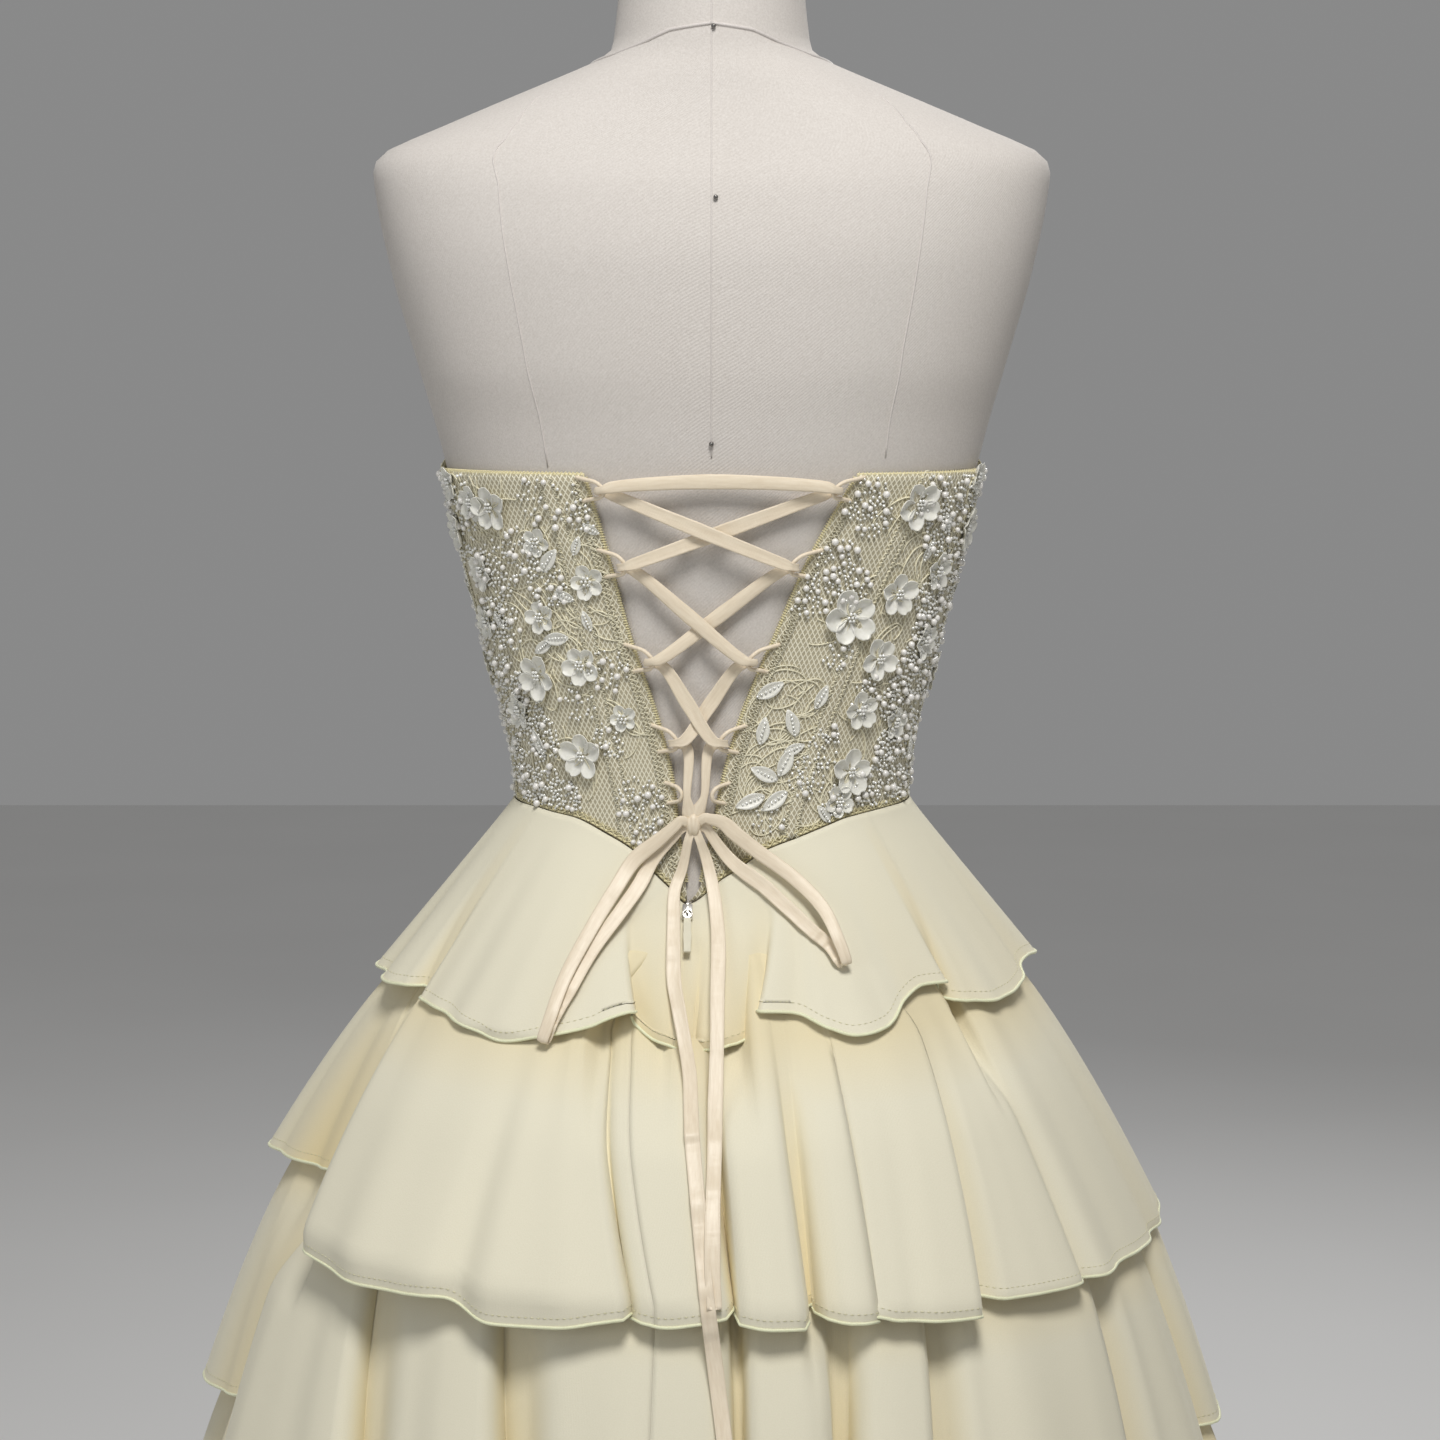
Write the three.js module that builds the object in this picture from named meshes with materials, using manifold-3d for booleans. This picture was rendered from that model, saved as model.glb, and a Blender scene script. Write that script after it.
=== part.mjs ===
// Homecoming dress on a limbless dress form, shown from its back.
// Millimetres, +Z up. The back of the dress faces -Y, and +X is on the right of that view.
// The origin is the centre of the stand's underside, on the floor.
// Angles are in degrees round the body: 0 at the centre back, 90 at +X, 180 at the centre front.
import * as THREE from 'three';
import { mergeVertices } from 'three/addons/utils/BufferGeometryUtils.js';
import Module from 'manifold-3d';

const wasm = await Module();
wasm.setup();

const DEGREE = Math.PI / 180;
const FULL_TURN = 360;
const FRONT = 180;

// Driving dimensions
const SEAM_GAP = 0.3;
const DRAWN_BACK = 0.6;
const FORM_CLEARANCE = 1.3;
const BODICE_WALL = 2.2;
const TIER_WALL = 1.2;
const UNDERSKIRT_WALL = 1.1;
const LAYER_GAP = 5;
const TIER_SEAT = 0.5;
const FORM_BOTTOM = 755;
const NECK_TOP = 1456;
const NECK_TOP_SHARE = 0.86;
const POLE_RADIUS = 15;
const POLE_SIDES = 20;
const BASE_RADIUS = 185;
const BASE_HEIGHT = 16;
const BASE_SIDES = 28;
const BASE_EDGE = 4;
const SOCKET_RADIUS = 24;
const SOCKET_HEIGHT = 40;

// The form's level sections. Columns: level, half width, front depth, back depth, squareness
const BODY = [
  [755, 153, 99, 112, 2.1],
  [800, 160, 103, 118, 2.1],
  [850, 153, 100, 114, 2],
  [900, 139, 95, 106, 2],
  [950, 121, 90, 96, 2],
  [975, 112, 87, 91, 2],
  [1000, 106, 86, 88, 2],
  [1040, 111, 91, 86, 2.1],
  [1080, 121, 97, 88, 2.2],
  [1120, 131, 103, 91, 2.2],
  [1150, 139, 105, 95, 2.2],
  [1182, 146, 104, 98, 2.3],
  [1206, 152, 102, 100, 2.3],
  [1238, 161, 99, 102, 2.4],
  [1288, 175, 92, 100, 2.4],
  [1330, 183.5, 78, 90, 2.4],
  [1344, 185, 71, 83, 2.4],
  [1352, 181.5, 67, 78.5, 2.35],
  [1358, 170.5, 64.5, 75.5, 2.3],
  [1367, 149, 61.5, 71, 2.3],
  [1381, 116, 57.5, 65, 2.15],
  [1391, 91.5, 56, 62, 2.1],
  [1398, 74.5, 55.5, 59.5, 2.05],
  [1404, 61, 54.5, 57.5, 2],
  [1410, 54.5, 54, 56.5, 2],
  [1422, 52.5, 52.5, 54.5, 2],
  [1436, 51, 51, 52.5, 2],
  [1450, 50, 50, 51.5, 2],
];
const BUST_ANGLE = 38;
const BUST_LEVEL = 1146;
const BUST_RISE = 15;
const BUST_SPREAD_ANGLE = 25;
const BUST_SPREAD_LEVEL = 40;
const FORM_COLUMNS = 28;

// Columns that every skirt layer shares, closer together where the back shows its folds
const BACK_COLUMNS = [
  -90, -84, -78, -73, -68, -64, -60, -56, -52, -47, -42, -39, -35, -32, -28, -24, -20, -17, -13,
  -10, -6, -3, 0, 3, 6, 9, 12, 15, 18, 21, 24, 28, 31, 34, 37, 41, 45, 50, 54, 58, 63, 68, 73,
  79, 84, 90,
];
const FRONT_STEP = 6;
const SIDE = 90;
const CENTRE_BACK = -6;

// The waist seam, which dips to a point at the back and the front. Columns: angle, level
const WAIST_SEAM = [
  [-180, 958], [-174, 964], [-168, 970], [-156, 981], [-144, 989], [-132, 995], [-114, 1000],
  [-60, 1000], [-52, 999], [-42, 997.6], [-28, 989], [-20, 981], [-17, 975], [-10, 963],
  [-6, 956], [3, 969], [6, 972.5], [15, 983.5], [24, 989], [34, 994.5], [41, 997.5], [54, 999.5],
  [63, 1000], [114, 1000], [132, 995], [144, 989], [156, 981], [168, 970], [174, 964],
  [180, 958],
];

// The top edge of the bodice, by the angle away from the centre front. Columns: angle, level
const TOP_EDGE = [
  [0, 1187], [12, 1203], [26, 1221], [38, 1224], [52, 1214], [68, 1198], [84, 1186], [98, 1182],
  [180, 1181],
];

// The two laced edges of the open back. Columns: level, left edge, right edge
const BACK_OPENING = [
  [956, -13, -12.2],
  [963, -13.6, -6.2],
  [980, -15.6, -3],
  [994, -18.6, 1.6],
  [1012, -20, 4.6],
  [1048, -27.8, 14.4],
  [1084, -39.6, 28.4],
  [1095, -43.2, 33.4],
  [1136, -54.2, 51.4],
  [1181, -67, 77],
];

// The plain underskirt that carries the tiers. Columns: level, half width, half depth
const UNDERSKIRT = [
  [548, 256, 244],
  [655, 236, 226],
  [728, 214, 205],
  [780, 194, 184],
  [852, 168, 152],
  [905, 147, 125],
  [938, 131, 111.5],
  [955, 123, 101],
  [975, 114.5, 95.5],
  [1000, 108, 90],
];
const UNDERSKIRT_ROWS = [938, 905, 852, 780, 728, 548];
const UNDERSKIRT_COLUMN_STEP = 2;
const UNDERSKIRT_DROP = 3;
const UNDERSKIRT_FIRST_ROW = 9;

// Where the top tier is cut into rows, as shares of its height
const FIRST_TIER_ROWS = [0, 0.3, 0.65, 1];
const HEM_TUCK = 5;

// Folds are tables of columns angle and offset at the hem, and flare is the power of the profile
const TIERS = [
  {
    name: 'tier_1', top: null, hem: 903, hemDrop: [0, 9], halfWidth: 190, halfDepth: 160, flare: 1,
    folds: [
      [-90, 0], [-73, -7], [-60, 1], [-56, -8], [-47, -3], [-35, 5], [-20, 0], [-13, -3],
      [-10, -22], [-6, -12], [-3, -6], [0, 0], [3, 1], [6, -17], [12, -15], [18, -4], [24, 1],
      [28, -6], [31, -22], [34, -24], [37, -6], [41, 0], [50, -8], [58, -2], [68, -7], [79, 0],
      [90, 0], [102, -14], [114, 0], [126, -18], [132, -20], [138, -2], [150, 0], [162, -14],
      [168, -22], [174, -6], [186, 0], [198, -16], [204, -20], [210, -2], [222, 0], [234, -20],
      [246, -4], [258, -12], [270, 0],
    ],
  },
  {
    name: 'tier_2', top: 938, hem: 782, hemDrop: [14, 0], halfWidth: 254, halfDepth: 246,
    flare: 0.7,
    folds: [
      [-90, 0], [-84, -10], [-73, -32], [-60, -28], [-56, -4], [-52, 6], [-42, 10], [-32, 10],
      [-28, 1], [-24, 8], [-17, 6], [-10, 0], [-6, 5], [-3, 3], [0, -2], [3, -24], [6, 4], [9, 3],
      [12, -16], [15, -2], [18, -8], [21, 6], [28, 9], [31, -8], [37, 0], [45, 4], [54, -3],
      [63, 2], [73, -5], [84, 0], [90, 0], [102, -22], [108, -24], [114, 0], [126, 2], [138, -18],
      [144, -22], [150, 0], [162, 4], [174, -20], [180, -24], [186, 0], [198, 3], [210, -16],
      [216, -20], [222, 0], [234, 2], [246, -22], [252, -8], [262, 0], [270, 0],
    ],
  },
  {
    name: 'tier_3', top: 852, hem: 656, hemDrop: [10, 0], halfWidth: 290, halfDepth: 280,
    flare: 0.5,
    folds: [
      [-90, 0], [-84, 0], [-78, -22], [-73, -24], [-68, 0], [-60, 5], [-47, 3], [-42, 0],
      [-39, -22], [-35, -20], [-32, 3], [-24, 5], [-20, -18], [-17, -16], [-13, 4], [-3, 6],
      [9, 5], [15, 1], [18, -20], [21, -18], [24, 4], [34, 5], [37, 1], [41, -22], [45, -20],
      [50, 4], [63, 2], [68, -20], [73, -22], [79, 0], [90, 0], [96, -18], [108, -24], [114, 2],
      [126, 4], [132, -18], [144, -22], [150, 2], [162, 4], [168, -20], [180, -22], [186, 3],
      [198, 4], [204, -18], [216, -22], [222, 2], [234, 4], [240, -18], [252, -20], [258, 0],
      [270, 0],
    ],
  },
  {
    name: 'tier_4', top: 728, hem: 530, hemDrop: [6, 0], halfWidth: 318, halfDepth: 306,
    flare: 0.45,
    folds: [
      [-90, 0], [-84, -20], [-78, -22], [-73, 2], [-64, 4], [-60, -20], [-52, -24], [-47, 2],
      [-39, 4], [-32, -22], [-28, -22], [-24, 3], [-13, 5], [-10, -18], [-3, -22], [0, 3],
      [9, 5], [12, -20], [15, -22], [21, 3], [28, 4], [31, -20], [37, -24], [41, 2], [50, 5],
      [54, -18], [63, -22], [68, 2], [79, 4], [84, -16], [90, -2], [102, 3], [108, -20],
      [114, -22], [126, 3], [138, 4], [144, -20], [156, -22], [162, 3], [174, 4], [180, -20],
      [192, -22], [198, 3], [210, 4], [216, -20], [228, -22], [234, 3], [246, 2], [252, -20],
      [264, -16], [270, 0],
    ],
  },
];
const FOLD_GROWTH = 1.3;
const RELEASE = 45;

// Bodice panels, each cut at these angles along its waist. The back panels end at the laced edge
const PANELS = [
  { name: 'bodice_back_left', angles: [-60, -52, -42, -28, -20, -17, -10, -6], laced: 'left' },
  { name: 'bodice_back_right', angles: [-6, 3, 6, 15, 24, 34, 41, 54, 60], laced: 'right' },
  { name: 'bodice_side_right', angles: [60, 71, 82, 94, 105] },
  { name: 'bodice_side_front_right', angles: [105, 114, 123, 132, 138, 144] },
  { name: 'bodice_centre_front', angles: [144, 156, 162, 168, 174, 180, 186, 192, 198, 204, 216] },
  { name: 'bodice_side_front_left', angles: [216, 222, 228, 237, 246, 255] },
  { name: 'bodice_side_left', angles: [255, 266, 278, 289, 300] },
];
const PANEL_ROWS = 6;
const FORM_BUST_SHARE = 0.8;

// Raised five-petal flowers. Columns: angle, level, radius, turn
const FLOWERS = [
  [-52, 1163, 12, 10], [-47.5, 1073, 12, 40], [-37, 1030.5, 12, 0], [46.5, 1165, 12, 30],
  [46, 1117, 11.5, 0], [32, 1105.5, 14, 15], [43.5, 1082.5, 11, 30], [41.3, 1021.5, 12, 0],
  [76, 1150, 12, 5], [86, 1072, 11, 30],
  [284, 1150, 12, 20], [274, 1072, 11, 0], [122, 1092, 11, 30], [238, 1092, 11, 15],
  [166, 1132, 11, 20], [194, 1132, 11, 40], [180, 1070, 12, 0],
];
const FLOWER_PROFILE = { sunk: -1.2, rim: 1.2, centre: 2.6, petals: 5, notch: 0.52, spread: 16 };

// Raised beaded leaves. Columns: angle, level, length, turn
const LEAVES = [
  [-36, 1136, 16, -40], [-38, 1094, 15, 95], [-54, 1036, 15, 25], [13, 1068, 15, -60],
  [20, 1050, 14, 20], [14, 1023, 15, 65], [88, 1118, 16, -30], [72, 1030, 15, 15],
  [272, 1118, 16, 30], [288, 1030, 15, -15], [118, 1148, 16, 25], [128, 1046, 15, -25],
  [242, 1148, 16, -25], [232, 1046, 15, 25], [163, 1096, 15, 40], [197, 1096, 15, -40],
];
const LEAF_PROFILE = { sunk: -1.2, rim: 0.8, ridge: 1.7, width: 0.46, upperWidth: 0.8 };
const RIM_SHARE = 0.94;

// Levels of the rouleau loops down each laced edge
const LOOP_LEVELS = [1173, 1133, 1083, 1040, 1013];
const LOOP_THICKNESS = 2.2;
const LOOP_REACHES = [9, 9, 9, 8, 4.5];
const LOOP_HALF_SPAN = 4.5;
const LOOP_UPPER_FEET = [6, 8, 8, 8, 4.5];
const LOOP_RISE = 4;
const LOOP_FOOT = 5;
const LOOP_SHOULDER = { reach: 0.7, span: 0.7, rise: 0.8 };
const LOOP_EDGE_RISE = 0.6;
const LOOP_FLATTENING = 0.87;
const LOOP_SIDES = 5;
const RIBBON = { width: 8, turned: 6.2, bunched: 4, hanging: 6.5, thickness: 1.3 };
const BUNCHED_WITHIN = 1.2;
const STRAND_OVER = 8.8;
const STRAND_UNDER = 5.4;

// The ribbon's turn through a loop. Columns: distance past the loop's reach, height over the
// loop's level, rise over its arc
const TURN = [[4, 2, 2.6], [-1, 0.6, 2.8], [-4.7, 0, 0.2], [-1, -0.6, -2.8], [4, -2.4, -2.6]];
const TOP_SPAN_RISE = 5;
const TOP_SPAN_OUT = 7;

// Where the lacing meets the knot
const LACING_ENDS = { above: 0.9, halfGap: 2.3, rightSpread: 5.6, leftSpread: 3.4, risen: 8 };

// How the ribbons' faces turn to the back, and when they are free to turn
const FACING_SIDEWAYS = 0.6;
const FREE_TURN = 0.5;
const SIX_SIDED_DEPTH = 2 / Math.sqrt(3);

// The knot of the bow, and the routes of its two loops and two tails
const KNOT = { centre: [-9.5, -97, 997], radii: [4.2, 3.6, 6], sides: 10, rings: 7 };
const BOW_LOOP_LEFT = [
  [-16, -99, 999.6], [-27, -98.6, 990], [-40.5, -99.6, 979], [-49.7, -107, 966],
  [-65.8, -123.6, 941], [-76.3, -136, 922], [-83.5, -149.6, 903], [-86.8, -151.6, 893],
  [-85, -147.4, 894], [-81.4, -145, 903], [-72.4, -135.8, 918], [-61.4, -124.2, 936],
  [-48, -112.8, 953], [-38, -102.4, 966], [-30.4, -95.8, 979], [-16, -96, 995],
];
const BOW_LOOP_RIGHT = [
  [-3.4, -99, 1001], [5.8, -98.4, 998.5], [13.4, -99.4, 992], [25, -100, 983],
  [44.6, -107, 969.5], [58.6, -118.4, 956], [66, -129.2, 942], [70.2, -132.4, 930],
  [67.6, -127.2, 930], [61.4, -123.8, 938], [52.4, -119.6, 945], [38.2, -111.8, 957],
  [27.4, -105.6, 966], [9.4, -96.6, 979], [-3, -96, 995.4],
];
const TAIL_LEFT = [
  [-12.4, -98, 988.6], [-15.4, -97.4, 974], [-19.4, -101.6, 963], [-19.8, -110.2, 950],
  [-19.8, -119.8, 936], [-19.4, -131.2, 921], [-17, -143.2, 909], [-13.6, -154.2, 893],
  [-11, -167.2, 880], [-10, -184.8, 864], [-8.8, -202, 849], [-6.4, -221.6, 828],
  [-3.4, -238.6, 800], [-1.2, -247.4, 782], [1.2, -248.6, 762], [3.8, -253, 742],
  [6.6, -262.2, 722], [8.6, -269.6, 704],
];
const TAIL_RIGHT = [
  [-6, -98, 988.6], [-2.4, -97.6, 978], [1.6, -107.8, 960], [3.6, -124.8, 940],
  [3.2, -143.8, 918], [3, -161.6, 896], [2.6, -170.8, 882], [2, -186.6, 864],
  [1.8, -201.2, 849], [1, -222.6, 828], [0.8, -233.4, 814], [0.8, -241.8, 800],
  [1.8, -250.2, 783],
];

// The zip's slider on the sloping cloth, and its cloth-covered pull
const ZIP = { place: [-12.6, -107.6, 952], slope: 50.9 };
const SLIDER = { halfWidth: 2.6, halfLength: 4.4, thickness: 1.8, bridgeSunk: 0.6 };
const BRIDGE = { halfWidth: 0.8, top: 4.8, beam: 1.2, upper: 3.5, lower: -2.5, leg: 1.2 };
const PULL = {
  axis: [0.2, 2.7], bar: 0.6, armInside: 1.1, armOutside: 2.1, tabStart: -4.7, tabEnd: -25,
  tabHalfWidth: 2.1, tabHalfThickness: 0.9,
};

const PAINTS = {
  form: new THREE.MeshStandardMaterial({ color: 0xd9d3cd, roughness: 0.9 }),
  steel: new THREE.MeshStandardMaterial({ color: 0x9a9894, roughness: 0.35, metalness: 0.9 }),
  lace: new THREE.MeshStandardMaterial({ color: 0xddd7b2, roughness: 0.8 }),
  chiffon: new THREE.MeshStandardMaterial({ color: 0xebe3c6, roughness: 0.75 }),
  satin: new THREE.MeshStandardMaterial({ color: 0xe6d3b3, roughness: 0.45 }),
};

const model = new THREE.Group();

function addPiece(name, geometry, paint) {
  const piece = new THREE.Mesh(geometry, paint);
  piece.name = name;
  model.add(piece);
}

// Straight-line look-up between the rows of a table, whose first column rises
function lookUp(table, key, column) {
  const next = table.findIndex((row) => row[0] >= key);
  if (next === 0) return table[0][column];
  if (next < 0) return table[table.length - 1][column];
  const [low, high] = [table[next - 1], table[next]];
  return low[column] + ((high[column] - low[column]) * (key - low[0])) / (high[0] - low[0]);
}

// An angle brought between start and start + 360
function turned(angle, start) {
  return ((((angle - start) % FULL_TURN) + FULL_TURN) % FULL_TURN) + start;
}

function geometryFrom(points, faces) {
  const geometry = new THREE.BufferGeometry();
  geometry.setAttribute('position', new THREE.Float32BufferAttribute(points.flat(), 3));
  geometry.setIndex(faces);
  geometry.computeVertexNormals();
  return geometry;
}

// A closed wall between two like grids of points, whose rows run down and columns by the angle
function wall(outer, inner, ring) {
  const rows = outer.length;
  const columns = outer[0].length;
  const faces = [];
  const at = (side, row, column) => (side * rows + row) * columns + (column % columns);
  const quad = (a, b, c, d) => faces.push(a, b, c, a, c, d);
  const end = columns - 1;
  for (let column = 0; column < (ring ? columns : end); column += 1) {
    for (let row = 0; row < rows - 1; row += 1) {
      const cell = (side) => [
        at(side, row, column), at(side, row + 1, column), at(side, row + 1, column + 1),
        at(side, row, column + 1),
      ];
      quad(...cell(0));
      const [a, b, c, d] = cell(1);
      faces.push(a, c, b, a, d, c);
    }
    quad(at(0, 0, column), at(0, 0, column + 1), at(1, 0, column + 1), at(1, 0, column));
    quad(
      at(0, rows - 1, column + 1), at(0, rows - 1, column),
      at(1, rows - 1, column), at(1, rows - 1, column + 1),
    );
  }
  for (let row = 0; row < rows - 1 && !ring; row += 1) {
    quad(at(0, row, 0), at(1, row, 0), at(1, row + 1, 0), at(0, row + 1, 0));
    quad(at(0, row, end), at(0, row + 1, end), at(1, row + 1, end), at(1, row, end));
  }
  return geometryFrom([...outer.flat(), ...inner.flat()], faces);
}

// A closed body through rings of points, each ring the same size, with an optional crown point
function loft(rings, crown) {
  const size = rings[0].length;
  const faces = [];
  const points = rings.flat();
  for (let ring = 0; ring < rings.length - 1; ring += 1) {
    for (let i = 0; i < size; i += 1) {
      const next = (i + 1) % size;
      const [a, b] = [ring * size + i, ring * size + next];
      faces.push(a, b, b + size, a, b + size, a + size);
    }
  }
  const cap = (ring, turnedOver) => {
    const middle = points.length;
    const sum = rings[ring].reduce((total, p) => total.map((v, k) => v + p[k]), [0, 0, 0]);
    points.push(!turnedOver && crown ? crown : sum.map((v) => v / size));
    for (let i = 0; i < size; i += 1) {
      const pair = [ring * size + i, ring * size + ((i + 1) % size)];
      faces.push(middle, ...(turnedOver ? pair.reverse() : pair));
    }
  };
  cap(0, true);
  cap(rings.length - 1, false);
  return geometryFrom(points, faces);
}

// The body's surface, moved out
function bodyPoint(angle, level, out, bustShare = 1) {
  const [halfWidth, front, back, squareness] = [1, 2, 3, 4].map((c) => lookUp(BODY, level, c));
  const away = Math.abs(turned(angle, 0) - FRONT);
  const bust = bustShare * BUST_RISE * Math.exp(
    -(((away - BUST_ANGLE) / BUST_SPREAD_ANGLE) ** 2)
    - (((level - BUST_LEVEL) / BUST_SPREAD_LEVEL) ** 2),
  );
  const rounded = (value) => Math.sign(value) * Math.abs(value) ** (2 / squareness);
  const sine = rounded(Math.sin(angle * DEGREE));
  const cosine = rounded(Math.cos(angle * DEGREE));
  const depth = cosine > 0 ? back : front + bust;
  return [(halfWidth + out) * sine, -(depth + out) * cosine, level];
}

// The angle at which the body's back reaches a distance x from the middle
function bodyAngle(x, level, out) {
  const share = Math.abs(x) / (lookUp(BODY, level, 1) + out);
  return (Math.sign(x) * Math.asin(share ** (lookUp(BODY, level, 4) / 2))) / DEGREE;
}

function waistLevel(angle) {
  return lookUp(WAIST_SEAM, turned(angle, -FRONT), 1);
}

function topLevel(angle) {
  return lookUp(TOP_EDGE, Math.abs(turned(angle, 0) - FRONT), 1);
}

// The dress form and its stand
function buildForm() {
  const rings = BODY.map(([level]) => {
    const ring = [];
    for (let i = 0; i < FORM_COLUMNS; i += 1) {
      ring.push(bodyPoint((i * FULL_TURN) / FORM_COLUMNS, level, 0, FORM_BUST_SHARE));
    }
    return ring;
  });
  const [neck] = rings.slice(-1);
  rings.push(neck.map(([x, y]) => [x * NECK_TOP_SHARE, y * NECK_TOP_SHARE, NECK_TOP]));
  addPiece('dress_form', loft(rings), PAINTS.form);
}

function lathe(profile, sides) {
  const outline = profile.map(([radius, level]) => new THREE.Vector2(radius, level));
  return new THREE.LatheGeometry(outline, sides).rotateX(90 * DEGREE);
}

function buildStand() {
  const poleBottom = BASE_HEIGHT + SOCKET_HEIGHT + SEAM_GAP;
  addPiece('stand_base', lathe([
    [0, 0], [BASE_RADIUS, 0], [BASE_RADIUS, BASE_HEIGHT - 2 * BASE_EDGE],
    [BASE_RADIUS - BASE_EDGE, BASE_HEIGHT - BASE_EDGE], [SOCKET_RADIUS + BASE_EDGE, BASE_HEIGHT],
    [SOCKET_RADIUS, BASE_HEIGHT + BASE_EDGE], [SOCKET_RADIUS, BASE_HEIGHT + SOCKET_HEIGHT],
    [0, BASE_HEIGHT + SOCKET_HEIGHT],
  ], BASE_SIDES), PAINTS.steel);
  addPiece('stand_pole', lathe([
    [0, poleBottom], [POLE_RADIUS, poleBottom], [POLE_RADIUS, FORM_BOTTOM - SEAM_GAP],
    [0, FORM_BOTTOM - SEAM_GAP],
  ], POLE_SIDES), PAINTS.steel);
}

// Skirt layers
const COLUMNS = [...BACK_COLUMNS];
for (let angle = SIDE + FRONT_STEP; angle < FULL_TURN - SIDE; angle += FRONT_STEP) {
  COLUMNS.push(angle);
}

function ellipsePoint(angle, halfWidth, halfDepth, level) {
  return [halfWidth * Math.sin(angle * DEGREE), -halfDepth * Math.cos(angle * DEGREE), level];
}

// The underskirt's half width and half depth at a level
function underskirtAt(level) {
  return [lookUp(UNDERSKIRT, level, 1), lookUp(UNDERSKIRT, level, 2)];
}

function tierTop(tier, angle) {
  return tier.top ?? waistLevel(angle) - SEAM_GAP;
}

function tierHem(tier, angle) {
  const [sideways, backwards] = tier.hemDrop;
  return tier.hem - sideways * Math.sin(angle * DEGREE) - backwards * Math.cos(angle * DEGREE);
}

// A tier's own half width and half depth at an angle and level, before the tier above presses it
function ownSize(tier, angle, level) {
  const top = tierTop(tier, angle);
  const share = Math.min(1, Math.max(0, (top - level) / (top - tierHem(tier, angle))));
  const seat = TIER_SEAT + TIER_WALL;
  const fold = lookUp(tier.folds, turned(angle, -SIDE), 1) * share ** FOLD_GROWTH;
  const spread = share ** tier.flare;
  const start = underskirtAt(top).map((size) => size + seat);
  return [tier.halfWidth, tier.halfDepth].map((end, k) => start[k] + (end - start[k]) * spread + fold);
}

// The same, kept inside the tier above, and let go again below that tier's hem
function tierSize(index, angle, level) {
  const own = ownSize(TIERS[index], angle, level);
  if (index === 0) return own;
  const upperHem = tierHem(TIERS[index - 1], angle);
  const pressed = Math.max(level, upperHem);
  const upper = tierSize(index - 1, angle, pressed);
  const held = ownSize(TIERS[index], angle, pressed);
  const release = Math.max(0, 1 - Math.max(0, upperHem - HEM_TUCK - level) / RELEASE);
  const carrier = underskirtAt(level);
  return own.map((size, k) => {
    const pressedIn = Math.max(0, held[k] - (upper[k] - LAYER_GAP)) * release;
    return Math.max(size - pressedIn, carrier[k] + TIER_SEAT + TIER_WALL);
  });
}

// Points moved inwards, square to the ring that they lie on
function movedIn(ring, distance, closed) {
  const last = ring.length - 1;
  return ring.map(([x, y, z], i) => {
    const before = ring[i > 0 ? i - 1 : closed ? last : 0];
    const after = ring[i < last ? i + 1 : closed ? 0 : last];
    const [dx, dy] = [after[0] - before[0], after[1] - before[1]];
    const length = Math.hypot(dx, dy);
    return [x - (dy / length) * distance, y + (dx / length) * distance, z];
  });
}

// The levels of a tier's rows at an angle, one of them just under the hem of the tier above
function rowLevels(index, angle) {
  const tier = TIERS[index];
  const top = tierTop(tier, angle);
  const hem = tierHem(tier, angle);
  if (index === 0) return FIRST_TIER_ROWS.map((share) => top + (hem - top) * share);
  const tucked = tierHem(TIERS[index - 1], angle) - HEM_TUCK;
  return [top, (top + tucked) / 2, tucked, (tucked + hem) / 2, hem];
}

function buildTier(index) {
  const tier = TIERS[index];
  const levels = COLUMNS.map((angle) => rowLevels(index, angle));
  const rows = levels[0].map((_, row) => {
    const outer = COLUMNS.map((angle, i) => {
      const level = levels[i][row];
      return ellipsePoint(angle, ...tierSize(index, angle, level), level);
    });
    return { outer, inner: movedIn(outer, TIER_WALL, true) };
  });
  const pieces = [
    ['back_left', -SIDE, CENTRE_BACK],
    ['back_right', CENTRE_BACK, SIDE],
    ['front', SIDE, FULL_TURN - SIDE],
  ];
  for (const [name, start, end] of pieces) {
    const first = COLUMNS.indexOf(start);
    const last = end === FULL_TURN - SIDE ? COLUMNS.length : COLUMNS.indexOf(end);
    const cut = (ring) => {
      const points = [];
      for (let i = first; i <= last; i += 1) points.push(ring[i % COLUMNS.length]);
      return shortened(points, SEAM_GAP);
    };
    const outer = rows.map((row) => cut(row.outer));
    const inner = rows.map((row) => cut(row.inner));
    addPiece(`${tier.name}_${name}`, wall(outer, inner, false), PAINTS.chiffon);
  }
}

// A row of points with its two ends drawn back, so that neighbours at a seam stay apart
function shortened(points, gap) {
  const drawn = (end, next) => {
    const share = (DRAWN_BACK * gap) / Math.hypot(...end.map((v, k) => next[k] - v));
    return end.map((v, k) => v + (next[k] - v) * share);
  };
  const last = points.length - 1;
  return [
    drawn(points[0], points[1]), ...points.slice(1, last), drawn(points[last], points[last - 1]),
  ];
}

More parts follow.
